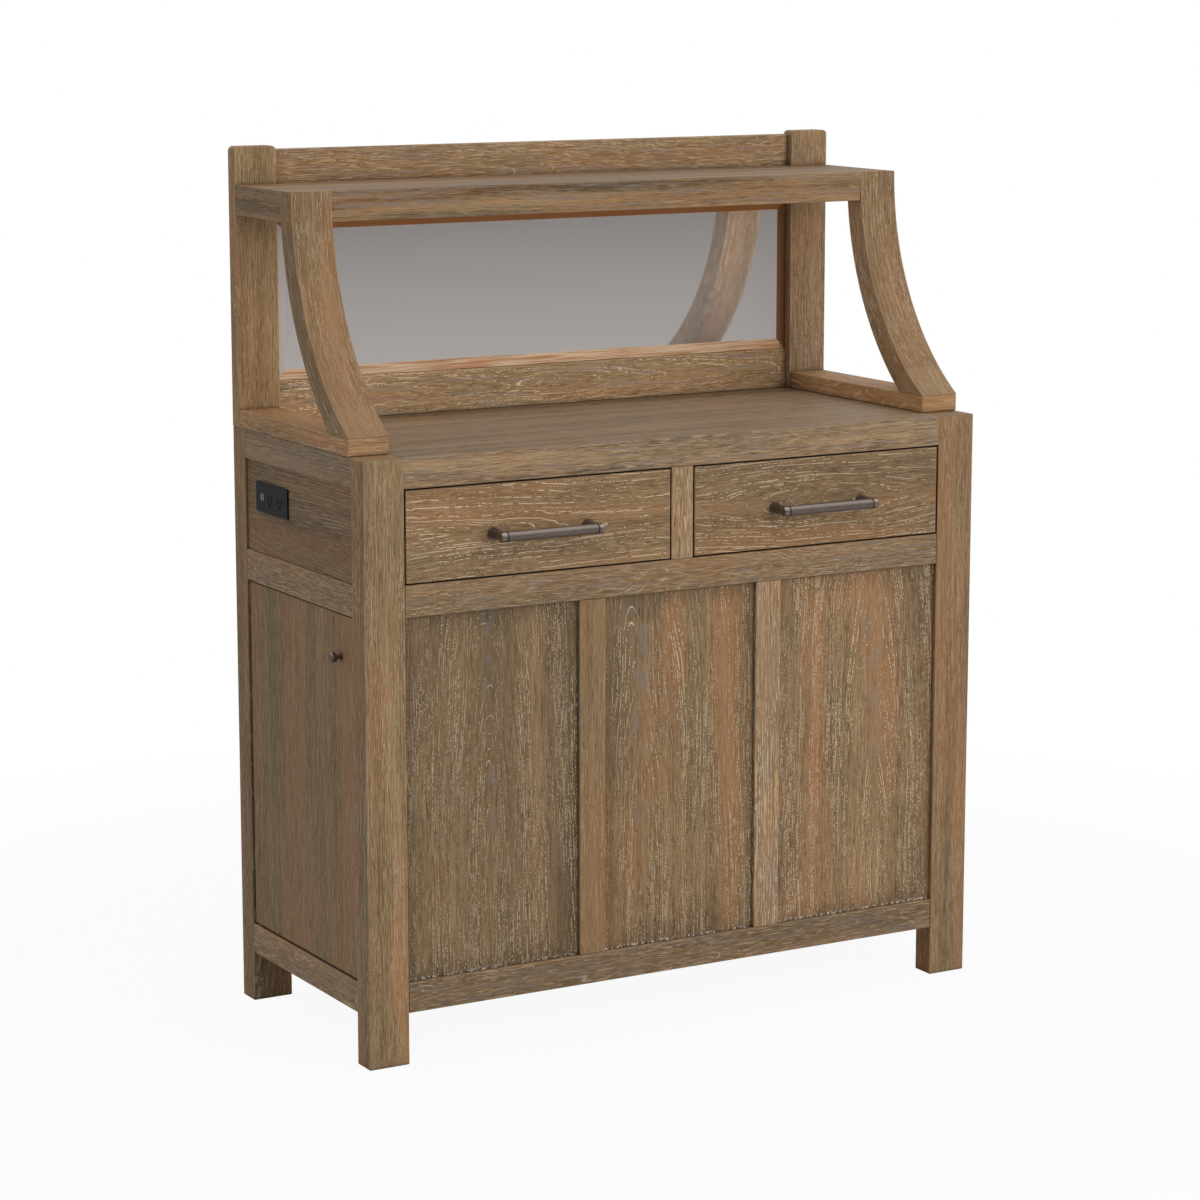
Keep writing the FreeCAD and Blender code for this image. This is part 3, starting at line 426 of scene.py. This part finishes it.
END = dict(Lines=0.12, Dots=0.15, Smears=0.1, Depth=0.03, Slope=0.1, Ring=0.005, Strip=0.06,
           Warmth=0.06, Fibre=1.0, Streak=0.4)
TOP = dict(Bands=1.5, Fibre=0.9, Lines=0.1, Dots=0.15, Grit=60.0, Smears=0.1, Depth=0.2, Slope=0.03,
           Ring=0.006, Streak=0.25, Weather=0.5)
BRACKET = dict(LEG, Dots=0.5, Streak=0.4, Light=0.86, Warmth=0.1)
POSTS = {
    "left": dict(Warmth=0.1, Light=1.18),
    "right": dict(Warmth=0.0, Light=1.28, Weather=0.4),
}

# Light above 1 on the boards of the hutch is partly painted light that lifts them out of the shelf's
# shade
BOARDS = {
    # node: order of along, across and depth, looks shared with its kind, looks of its own
    "front_left_leg": ("zxy", LEG, dict(Warmth=0.12, Light=1.0)),
    "front_right_leg": ("zxy", LEG, dict(Warmth=0.08, Light=0.84)),
    "rear_left_leg": ("zyx", LEG, dict(Light=0.9)),
    "rear_right_leg": ("zyx", LEG, dict(Light=0.9)),
    "buffet_top": ("xyz", TOP, dict(Light=0.86, Warmth=-0.08, Fibre=1.2, Streak=0.6)),
    "front_middle_rail": ("xzy", RAIL, dict(Light=0.78)),
    "front_bottom_rail": ("xzy", RAIL, dict(Light=0.72)),
    "rear_bottom_rail": ("xzy", RAIL, {}),
    "drawer_divider": ("zxy", RAIL, dict(Warmth=0.04, Light=1.07)),
    "front_left_stile": ("zxy", LEG, dict(Warmth=0.12, Light=0.82)),
    "front_right_stile": ("zxy", LEG, dict(Warmth=0.14, Light=0.98, Weather=0.6, Streak=0.7, Dots=0.7)),
    "front_left_panel": ("zxy", PANEL, dict(Warmth=-0.12, Light=0.78)),
    "front_center_panel": ("zxy", PANEL, dict(Pith=-0.07, Warmth=0.08, Light=0.86)),
    "front_right_panel": ("zxy", PANEL, dict(Warmth=0.2, Pith=0.03, Light=0.94)),
    "left_drawer_front": ("xzy", DRAWER, dict(Warmth=0.18, Light=0.93)),
    "right_drawer_front": ("xzy", DRAWER, dict(Slope=0.11, Depth=0.012, Warmth=0.1, Light=0.8,
                                               Lines=0.75)),
    "hutch_shelf": ("xyz", TOP, dict(Light=0.93)),
    "hutch_top_rail": ("xzy", RAIL, dict(Warmth=0.06, Light=1.18)),
    # painted light: the splash rail is lifted out of the shade under the shelf
    "hutch_splash_rail": ("xzy", DRAWER, dict(Light=1.54, Ring=0.005, Cover=0.4, Lines=0.7, Dots=0.5,
                                              Streak=0.4, Weather=0.5, Warmth=-0.05)),
}
for side in SIDES:
    BOARDS[f"{side}_middle_rail"] = ("yzx", RAIL, dict(Warmth=0.05))
    BOARDS[f"{side}_bottom_rail"] = ("yzx", RAIL, dict(Warmth=0.05))
    BOARDS[f"{side}_upper_panel"] = ("yzx", END, dict(Strip=1.0, Lines=0.4, Run=25.0, Cover=0.3,
                                                      Pith=-0.03, Light=0.67))
    BOARDS[f"{side}_door"] = ("zyx", END, dict(Light=0.9))
    BOARDS[f"hutch_{side}_post"] = ("zxy", LEG, POSTS[side])
    BOARDS[f"hutch_{side}_foot"] = ("yxz", LEG, dict(Warmth=0.24, Light=1.26, Streak=0.4, Lines=0.1,
                                                     Dots=0.2))

FACE_LIGHT = {
    # painted light and shade: faces that look up or back, painted lighter or darker than the rest of
    # their board: axis, light
    "buffet_top": ("Z", 0.82),
    "hutch_shelf": ("Z", 0.86),
    "hutch_splash_rail": ("Y", 0.95),
    "hutch_top_rail": ("Y", 0.95),
    "hutch_left_post": ("Y", 0.95),
    "hutch_right_post": ("Y", 0.95),
    "hutch_left_bracket": ("Y", 1.7),
    "hutch_right_bracket": ("Y", 1.7),
}
SPECULAR = 0.3
SHEEN = {"buffet_top": 0.5, "hutch_shelf": 0.25}  # specular level where it isn't the usual one


def new_material(name):
    """An empty material, its graph and its shader."""
    material = bpy.data.materials.new(name)
    material.use_nodes = True
    tree = material.node_tree
    return material, Graph(tree), tree.nodes["Principled BSDF"]


def dress(node, material):
    """Give a CAD node one material."""
    NODES[node].data.materials.clear()
    NODES[node].data.materials.append(material)


def board_grain(graph, node, axes):
    """Grain coordinates of a board and its half sizes; axes names along, across and depth.

    End faces take their figure across the board, as edge-banded ends do.
    """
    low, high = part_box(node)
    middle, half = (low + high) / 2, (high - low) / 2
    centred = graph.vector("SUBTRACT", graph.place(), tuple(middle))
    parts = dict(zip("xyz", graph.split(centred)))
    facing = dict(zip("xyz", graph.split(graph.facing())))
    sizes = dict(zip("xyz", half))
    along, across, depth = axes
    end = graph.math("GREATER_THAN", graph.math("ABSOLUTE", facing[along]), END_FACING)
    lengthwise = graph.join(parts[along], parts[across], parts[depth])
    crosswise = graph.join(parts[across], parts[depth], parts[along])
    grain = graph.mix(end, lengthwise, crosswise, "Vector")
    return grain, tuple(sizes[axis] for axis in axes)


def bracket_grain(graph, node):
    """Grain coordinates that follow the arc of a bracket, and its half sizes."""
    low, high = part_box(node)
    rise, run = high.z - low.z, high.y - low.y - BRACKET_THICK
    radius = (run ** 2 + rise ** 2) / (2 * run)
    hub = ((low.x + high.x) / 2, low.y + run - radius, high.z)
    x, y, z = graph.split(graph.vector("SUBTRACT", graph.place(), hub))
    arc = graph.math("MULTIPLY", graph.math("ARCTAN2", z, y), radius)
    out = graph.math("SUBTRACT", graph.hypotenuse(y, z), radius + BRACKET_THICK / 2)
    return graph.join(arc, x, out), (rise, (high.x - low.x) / 2, BRACKET_THICK / 2)


def oak(node, seed, looks, grain_of, *axes):
    """Dress one CAD node in its own piece of oak, with grain from board_grain or bracket_grain."""
    material, graph, shader = new_material("oak_" + node)
    grain, half_sizes = grain_of(graph, node, *axes)
    inputs = {"Grain": grain, "Half": half_sizes, "Seed": seed, **looks}
    group = graph.add("Group", inputs, node_tree=OAK)
    # painted light and shade on the faces that look up or back
    if node in FACE_LIGHT:
        axis, light = FACE_LIGHT[node]
        towards = graph.split(graph.facing())[axis]
        painted_face_light = graph.ramp(towards, *FACE_LIGHT_FACING, looks.get("Light", OAK_INPUTS["Light"]), light)
        graph.feed(group.inputs["Light"], painted_face_light)
    graph.feed(shader.inputs["Base Color"], group.outputs["Color"])
    graph.feed(shader.inputs["Roughness"], group.outputs["Roughness"])
    graph.feed(shader.inputs["Normal"], group.outputs["Normal"])
    shader.inputs["Specular IOR Level"].default_value = SHEEN.get(node, SPECULAR)
    dress(node, material)


def oak_boards():
    """Dress every board and bracket, each with a seed of its own."""
    for seed, (node, (axes, kind, own)) in enumerate(BOARDS.items(), 1):
        oak(node, seed, {**kind, **own}, board_grain, axes)
    for seed, side in enumerate(SIDES, len(BOARDS) + 1):
        oak(f"hutch_{side}_bracket", seed, BRACKET, bracket_grain)


oak_boards()

# Other finishes

GRAIN_STEP = (0.3, 0.7)  # levels between which a fine grain goes from one tone to the other
INNER_FIGURE = (4.0, 60.0, 520.0)  # cells per metre along X, Y and Z, here and below
INNER_BAND = (0.7, 7.0, 26.0)
INNER_PORE = (70.0, 400.0, 1100.0)
INNER_MIDDLE = srgb(160, 132, 100)
INNER_TONES = (srgb(136, 108, 78), srgb(172, 144, 111))
INNER_PORES = srgb(104, 80, 55)
INNER_ROUGH = 0.55
FIGURE_SHARE, BAND_SHARE = 0.6, 0.5  # of the inner wood's tone
INNER_RANGE = (0.35, 0.75)
INNER_PORE_STEP = (0.62, 0.7, 0.0, 0.5)
INNER_RELIEF = (0.15, 0.0004)  # strength and height
METAL_GRAIN = (900.0, 900.0, 900.0)
METAL_SHARE = 0.9
PULL_GRAIN = (400.0, 900.0, 900.0)
PULL_SATIN = (0.32, 0.42)
COLLAR, BAR = 0.0095, 0.016  # length of a collar and thickness of the bar
COLLAR_POLISH = -0.2
BRONZE = (srgb(104, 94, 88), srgb(124, 113, 106))
BRONZE_WORN = srgb(128, 118, 112)
PLASTIC_GRAIN = (1800.0, 1800.0, 1800.0)
PLASTIC_SPECULAR = 0.25
PLASTIC_SATIN = (0.45, 0.58)
PLASTIC_RELIEF = (0.1, 0.0002)
# painted shade in the recesses of moulded plastic: its colour, and the reach and step of the openness
# that sets it
RECESS_SHADE = srgb(3, 3, 3)
RECESS_SHADE_REACH = 0.004
RECESS_SHADE_STEP = (0.75, 0.35)
SILVER = (0.88, 0.89, 0.89, 1.0)
SHINE = 0.8  # the rest is the pale veil of old glass
BEVEL_LEAN = (0.04, 0.1)  # how far a face leans where it counts as a bevel
PAINTED_OAK_REFLECTION = (srgb(216, 160, 116), srgb(255, 228, 196))  # painted reflection of the oak that the lower bevel faces
PAINTED_OAK_REFLECTION_STEP = (0.36, 0.62)
PAINTED_OAK_REFLECTION_FIGURE = (14.0, 14.0, 620.0)
HAZE = (6.0, 6.0, 6.0)
HAZE_ROUGH = (0.02, 0.04)


def plain(name, color, **sockets):
    """A material set by numbers on the shader's own sockets, to build on."""
    material, graph, shader = new_material(name)
    shader.inputs["Base Color"].default_value = color
    for socket, setting in sockets.items():
        shader.inputs[socket.replace("_", " ")].default_value = setting
    return material, graph, shader


def inner_wood():
    """Plain lacquered board inside and at the back."""
    material, graph, shader = plain("inner_wood", INNER_MIDDLE, Roughness=INNER_ROUGH)
    place = graph.place()
    figure = graph.noise(place, INNER_FIGURE, detail=3.0)["Fac"]
    band = graph.noise(place, INNER_BAND, detail=3.0)["Fac"]
    pore = graph.noise(place, INNER_PORE, detail=1.0)["Fac"]
    tone = graph.math("ADD", graph.math("MULTIPLY", figure, FIGURE_SHARE),
                      graph.math("MULTIPLY", band, BAND_SHARE))
    color = graph.mix(graph.ramp(tone, *INNER_RANGE), *INNER_TONES)
    color = graph.mix(graph.ramp(pore, *INNER_PORE_STEP), color, INNER_PORES)
    graph.feed(shader.inputs["Base Color"], color)
    graph.feed(shader.inputs["Normal"], graph.bump(figure, *INNER_RELIEF))
    return material


def metal(name, dark, light, smooth, rough):
    """Metal with a fine uneven finish between two tones."""
    material, graph, shader = plain(name, dark, Metallic=METAL_SHARE)
    grain = graph.noise(graph.place(), METAL_GRAIN)["Fac"]
    graph.feed(shader.inputs["Base Color"], graph.mix(graph.ramp(grain, *GRAIN_STEP), dark, light))
    graph.feed(shader.inputs["Roughness"], graph.ramp(grain, *GRAIN_STEP, smooth, rough))
    return material


def bronze_pull(node):
    """Satin bronze whose end collars are polished bright by wear."""
    low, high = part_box(node)
    middle, half = (low.x + high.x) / 2, (high.x - low.x) / 2
    material, graph, shader = plain("bronze_" + node, BRONZE[0], Metallic=METAL_SHARE)
    place = graph.place()
    along, deep, _ = graph.split(place)
    grain = graph.noise(place, PULL_GRAIN)["Fac"]
    out = graph.math("ABSOLUTE", graph.math("SUBTRACT", along, middle))
    collar = graph.math("MULTIPLY", graph.math("GREATER_THAN", out, half - COLLAR),
                        graph.math("LESS_THAN", deep, low.y + BAR))
    tone = graph.mix(graph.ramp(grain, *GRAIN_STEP), *BRONZE)
    graph.feed(shader.inputs["Base Color"], graph.mix(collar, tone, BRONZE_WORN))
    satin = graph.ramp(grain, *GRAIN_STEP, *PULL_SATIN)
    graph.feed(shader.inputs["Roughness"], graph.math("MULTIPLY_ADD", collar, COLLAR_POLISH, satin))
    return material


def moulded(name, dark, light):
    """Fine matt moulded plastic, with painted shade in its recesses."""
    material, graph, shader = plain(name, dark, Specular_IOR_Level=PLASTIC_SPECULAR)
    grain = graph.noise(graph.place(), PLASTIC_GRAIN, detail=1.0)["Fac"]
    # painted shade: darker where other faces stand close
    painted_hollow_shade = graph.ramp(graph.openness(RECESS_SHADE_REACH), *RECESS_SHADE_STEP)
    tone = graph.mix(painted_hollow_shade, graph.mix(grain, dark, light), RECESS_SHADE)
    graph.feed(shader.inputs["Base Color"], tone)
    graph.feed(shader.inputs["Roughness"], graph.ramp(grain, *GRAIN_STEP, *PLASTIC_SATIN))
    graph.feed(shader.inputs["Normal"], graph.bump(grain, *PLASTIC_RELIEF))
    return material


def silvered():
    """Mirror glass whose ground bevels have painted reflections: the colours of the room and of the oak
    beside them, painted on.
    """
    material, graph, shader = plain("silvered_glass", SILVER, Metallic=1.0)
    place = graph.place()
    aside, _, lean = graph.split(graph.facing())
    away = [-level for level in BEVEL_LEAN]
    grain = graph.noise(place, PAINTED_OAK_REFLECTION_FIGURE)["Fac"]
    painted_oak_reflection = graph.mix(graph.ramp(grain, *PAINTED_OAK_REFLECTION_STEP), *PAINTED_OAK_REFLECTION)
    bevels = [
        # share of the bevel, the colour of its painted reflection, and how much of the mirror's own
        # shine it loses
        (graph.ramp(lean, *BEVEL_LEAN), srgb(176, 120, 76), 0.65),
        (graph.ramp(lean, *away), painted_oak_reflection, 0.65),
        (graph.ramp(aside, *away), srgb(226, 221, 216), 0.5),
        (graph.ramp(aside, *BEVEL_LEAN), srgb(148, 108, 76), 0.6),
    ]
    tone, shine = SILVER, SHINE
    for share, color, loss in bevels:
        tone = graph.mix(share, tone, color)
        shine = graph.math("MULTIPLY_ADD", share, -loss, shine)
    graph.feed(shader.inputs["Base Color"], tone)
    graph.feed(shader.inputs["Metallic"], shine)
    haze = graph.noise(place, HAZE, detail=1.0)["Fac"]
    graph.feed(shader.inputs["Roughness"], graph.ramp(haze, *GRAIN_STEP, *HAZE_ROUGH))
    return material


FINISHES = {
    "inner_wood": inner_wood(),
    "dark_bronze": metal("dark_bronze", srgb(92, 82, 74), srgb(112, 101, 92), 0.3, 0.4),
    "zinc_steel": metal("zinc_steel", srgb(168, 170, 172), srgb(196, 197, 198), 0.28, 0.4),
    "black_plastic": moulded("black_plastic", srgb(14, 14, 15), srgb(20, 20, 21)),
    "nylon": moulded("nylon", srgb(226, 224, 216), srgb(236, 234, 228)),
    "silvered_glass": silvered(),
}
for subpart in frame["record"]["subparts"]:
    if subpart["material_slot"] in FINISHES:
        dress(subpart["node"], FINISHES[subpart["material_slot"]])
for side in SIDES:
    dress(f"{side}_drawer_pull", bronze_pull(f"{side}_drawer_pull"))

# Small fittings

SCREW = [
    # radius and height above the board, from the rim of the head to the bottom of its recess
    (0.0036, 0.0),
    (0.0035, 0.0004),
    (0.0026, 0.0009),
    (0.0014, 0.0011),
    (0.0012, 0.0004),
    (0.0, 0.0003),
]
SCREW_SIDES = 18
SCREW_INSET = 0.022  # from the edge of the board to the middle of a screw
SCREW_ROWS = (("back_panel", 5, 4), ("mirror_back_board", 5, 2))  # board, columns and rows
PORTS = (0.0875, 0.0945)  # middle of each charging port from the front end of the outlet's plate
PORT_HEIGHT = 0.023  # from the plate's lower edge
PORT_TONGUE = (0.0012, 0.0026, 0.0112)  # depth, width and height of the tongue in a port
PORT_INSET = 0.0004  # from the plate's face
PORT_BEVEL = 0.0004


def turned(name, profile, sides):
    """A closed mesh turned about the X axis from points of radius and height, the last on the axis."""
    mesh = bpy.data.meshes.new(name)
    shape = bmesh.new()
    turns = [2 * math.pi * step / sides for step in range(sides)]
    rings = []
    for radius, height in profile[:-1]:
        points = [(height, radius * math.cos(turn), radius * math.sin(turn)) for turn in turns]
        rings.append([shape.verts.new(point) for point in points])
    tip = shape.verts.new((profile[-1][1], 0.0, 0.0))
    shape.faces.new(reversed(rings[0]))
    for lower, upper in zip(rings, rings[1:]):
        for step in range(sides):
            after = (step + 1) % sides
            shape.faces.new((lower[step], lower[after], upper[after], upper[step]))
    for step in range(sides):
        shape.faces.new((rings[-1][step], rings[-1][(step + 1) % sides], tip))
    bmesh.ops.recalc_face_normals(shape, faces=shape.faces)
    shape.to_mesh(mesh)
    shape.free()
    return mesh


def fitting(name, mesh, place, turn):
    """Place one small fitting on the case."""
    piece = bpy.data.objects.new(name, mesh)
    piece.location = place
    piece.rotation_euler = (0.0, 0.0, turn)
    bpy.context.scene.collection.objects.link(piece)
    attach(piece, "case")


def back_screws():
    """Pan-head screws round the two boards at the back."""
    head = turned("screw", SCREW, SCREW_SIDES)
    head.materials.append(FINISHES["zinc_steel"])
    for node, columns, rows in SCREW_ROWS:
        low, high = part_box(node)
        for column in range(columns):
            for row in range(rows):
                if 0 < column < columns - 1 and 0 < row < rows - 1:
                    continue
                x = low.x + SCREW_INSET + (high.x - low.x - 2 * SCREW_INSET) * column / (columns - 1)
                z = low.z + SCREW_INSET + (high.z - low.z - 2 * SCREW_INSET) * row / (rows - 1)
                name = f"{node}_screw_{column + 1}_{row + 1}"
                fitting(name, head, (x, high.y, z), math.pi / 2)


def port_tongues():
    """Pale contact tongues in the outlet's charging ports."""
    low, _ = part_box("outlet_faceplate")
    mesh = bpy.data.meshes.new("port_tongue")
    shape = bmesh.new()
    bmesh.ops.create_cube(shape, size=1.0)
    bmesh.ops.scale(shape, vec=PORT_TONGUE, verts=shape.verts)
    bmesh.ops.bevel(shape, geom=shape.edges[:], offset=PORT_BEVEL, segments=2, affect="EDGES")
    shape.to_mesh(mesh)
    shape.free()
    mesh.materials.append(FINISHES["nylon"])
    x = low.x + PORT_INSET + PORT_TONGUE[0] / 2
    for number, along in enumerate(PORTS, 1):
        place = (x, low.y + along, low.z + PORT_HEIGHT)
        fitting(f"port_tongue_{number}", mesh, place, 0.0)


back_screws()
port_tongues()

# Studio

FILL = (0.33, 0.54)  # strength of the surround's light at the horizon and overhead
ROOM = srgb(124, 119, 116)  # what shiny surfaces see at the horizon
ROOM_ZONES = [
    # Z of the ray's direction where a zone of the room sets in and is full, and its colour
    (-0.03, 0.22, srgb(236, 236, 236)),
    (0.35, 0.7, (1.9, 1.9, 1.9, 1.0)),
    (-0.05, -0.16, srgb(190, 183, 179)),
]
FLOOR_RADIUS = 6.0
FLOOR_SIDES = 64
FLOOR_COLOR = (0.9, 0.9, 0.9, 1.0)
FLOOR_ROUGH = 0.9
FLOOR_GLOW = 0.93  # how far the floor is lifted to white under the part
FLOOR_FADE = 1.0  # it is white from twice this distance on
LAMPS = [
    # name, place, point that it faces, width and height, watts
    ("key", (2.2, -4.4, 2.9), (0.0, 0.0, 0.7), (3.0, 3.0), 67.0),
    ("front", (0.6, -5.0, 1.3), (0.0, 0.0, 0.7), (2.6, 2.6), 46.0),
    # the light that the mirror returns to the inner faces of the hutch
    ("mirror_return", (0.0, 0.22, 1.1), (0.0, -1.0, 1.1), (0.9, 0.2), 0.8),
]
LENS, SENSOR = 104.85, 36.0  # millimetres
EYE = (-2.7242, -4.69405, 1.6244)
EYE_TILT, EYE_TURN = 10.39, 29.89  # degrees down, and to the right of straight ahead


def surround():
    """White to the camera, soft light on the part, and a grey room in reflections."""
    world = bpy.data.worlds.new("studio")
    bpy.context.scene.world = world
    world.use_nodes = True
    graph = Graph(world.node_tree)
    fill = world.node_tree.nodes["Background"]
    fill.inputs["Color"].default_value = WHITE
    up = graph.split(graph.add("TexCoord").outputs["Generated"])["Z"]
    graph.feed(fill.inputs["Strength"], graph.ramp(up, 0.0, 1.0, *FILL))
    tone = ROOM
    for start, full, color in ROOM_ZONES:
        tone = graph.mix(graph.ramp(up, start, full), tone, color)
    room = graph.add("Background", {"Color": tone, "Strength": 1.0}).outputs[0]
    seen = graph.add("Background", {"Color": WHITE, "Strength": 1.0}).outputs[0]
    rays = graph.add("LightPath").outputs
    shown = graph.add("MixShader", {0: rays["Is Glossy Ray"], 1: fill.outputs[0], 2: room}).outputs[0]
    shown = graph.add("MixShader", {0: rays["Is Camera Ray"], 1: shown, 2: seen}).outputs[0]
    graph.feed(world.node_tree.nodes["World Output"].inputs["Surface"], shown)


def pale_floor():
    """A round floor that fades to white away from the part and keeps its shadow."""
    mesh = bpy.data.meshes.new("floor")
    shape = bmesh.new()
    bmesh.ops.create_circle(shape, cap_ends=True, segments=FLOOR_SIDES, radius=FLOOR_RADIUS)
    shape.to_mesh(mesh)
    shape.free()
    floor = bpy.data.objects.new("floor", mesh)
    bpy.context.scene.collection.objects.link(floor)
    material, graph, shader = plain("floor", FLOOR_COLOR, Roughness=FLOOR_ROUGH)
    glow = graph.add("Emission", {"Color": WHITE, "Strength": 1.0}).outputs[0]
    reach = graph.add("VectorMath", {0: graph.place()}, operation="LENGTH").outputs["Value"]
    lifted = graph.ramp(reach, FLOOR_FADE, 2 * FLOOR_FADE, FLOOR_GLOW, 1.0)
    share = graph.math("MULTIPLY", graph.add("LightPath").outputs["Is Camera Ray"], lifted)
    surface = graph.add("MixShader", {0: share, 1: shader.outputs[0], 2: glow}).outputs[0]
    graph.feed(material.node_tree.nodes["Material Output"].inputs["Surface"], surface)
    mesh.materials.append(material)


def lamps():
    """Soft key from the front right, a front light and the mirror's return."""
    for name, place, aim, sides, watts in LAMPS:
        light = bpy.data.lights.new(name, "AREA")
        light.shape = "RECTANGLE"
        light.size, light.size_y = sides
        light.energy = watts
        lamp = bpy.data.objects.new(name, light)
        lamp.location = place
        lamp.visible_camera = False
        lamp.visible_glossy = False
        lamp.rotation_euler = (Vector(aim) - Vector(place)).to_track_quat("-Z", "Y").to_euler()
        bpy.context.scene.collection.objects.link(lamp)


def camera():
    """The viewing angle of the photograph."""
    lens = bpy.data.cameras.new("camera")
    lens.lens = LENS
    lens.sensor_width = SENSOR
    eye = bpy.data.objects.new("camera", lens)
    eye.location = EYE
    eye.rotation_euler = (math.radians(90 - EYE_TILT), 0.0, math.radians(-EYE_TURN))
    bpy.context.scene.collection.objects.link(eye)
    bpy.context.scene.camera = eye


surround()
pale_floor()
lamps()
camera()
bpy.context.scene.view_settings.view_transform = "Standard"
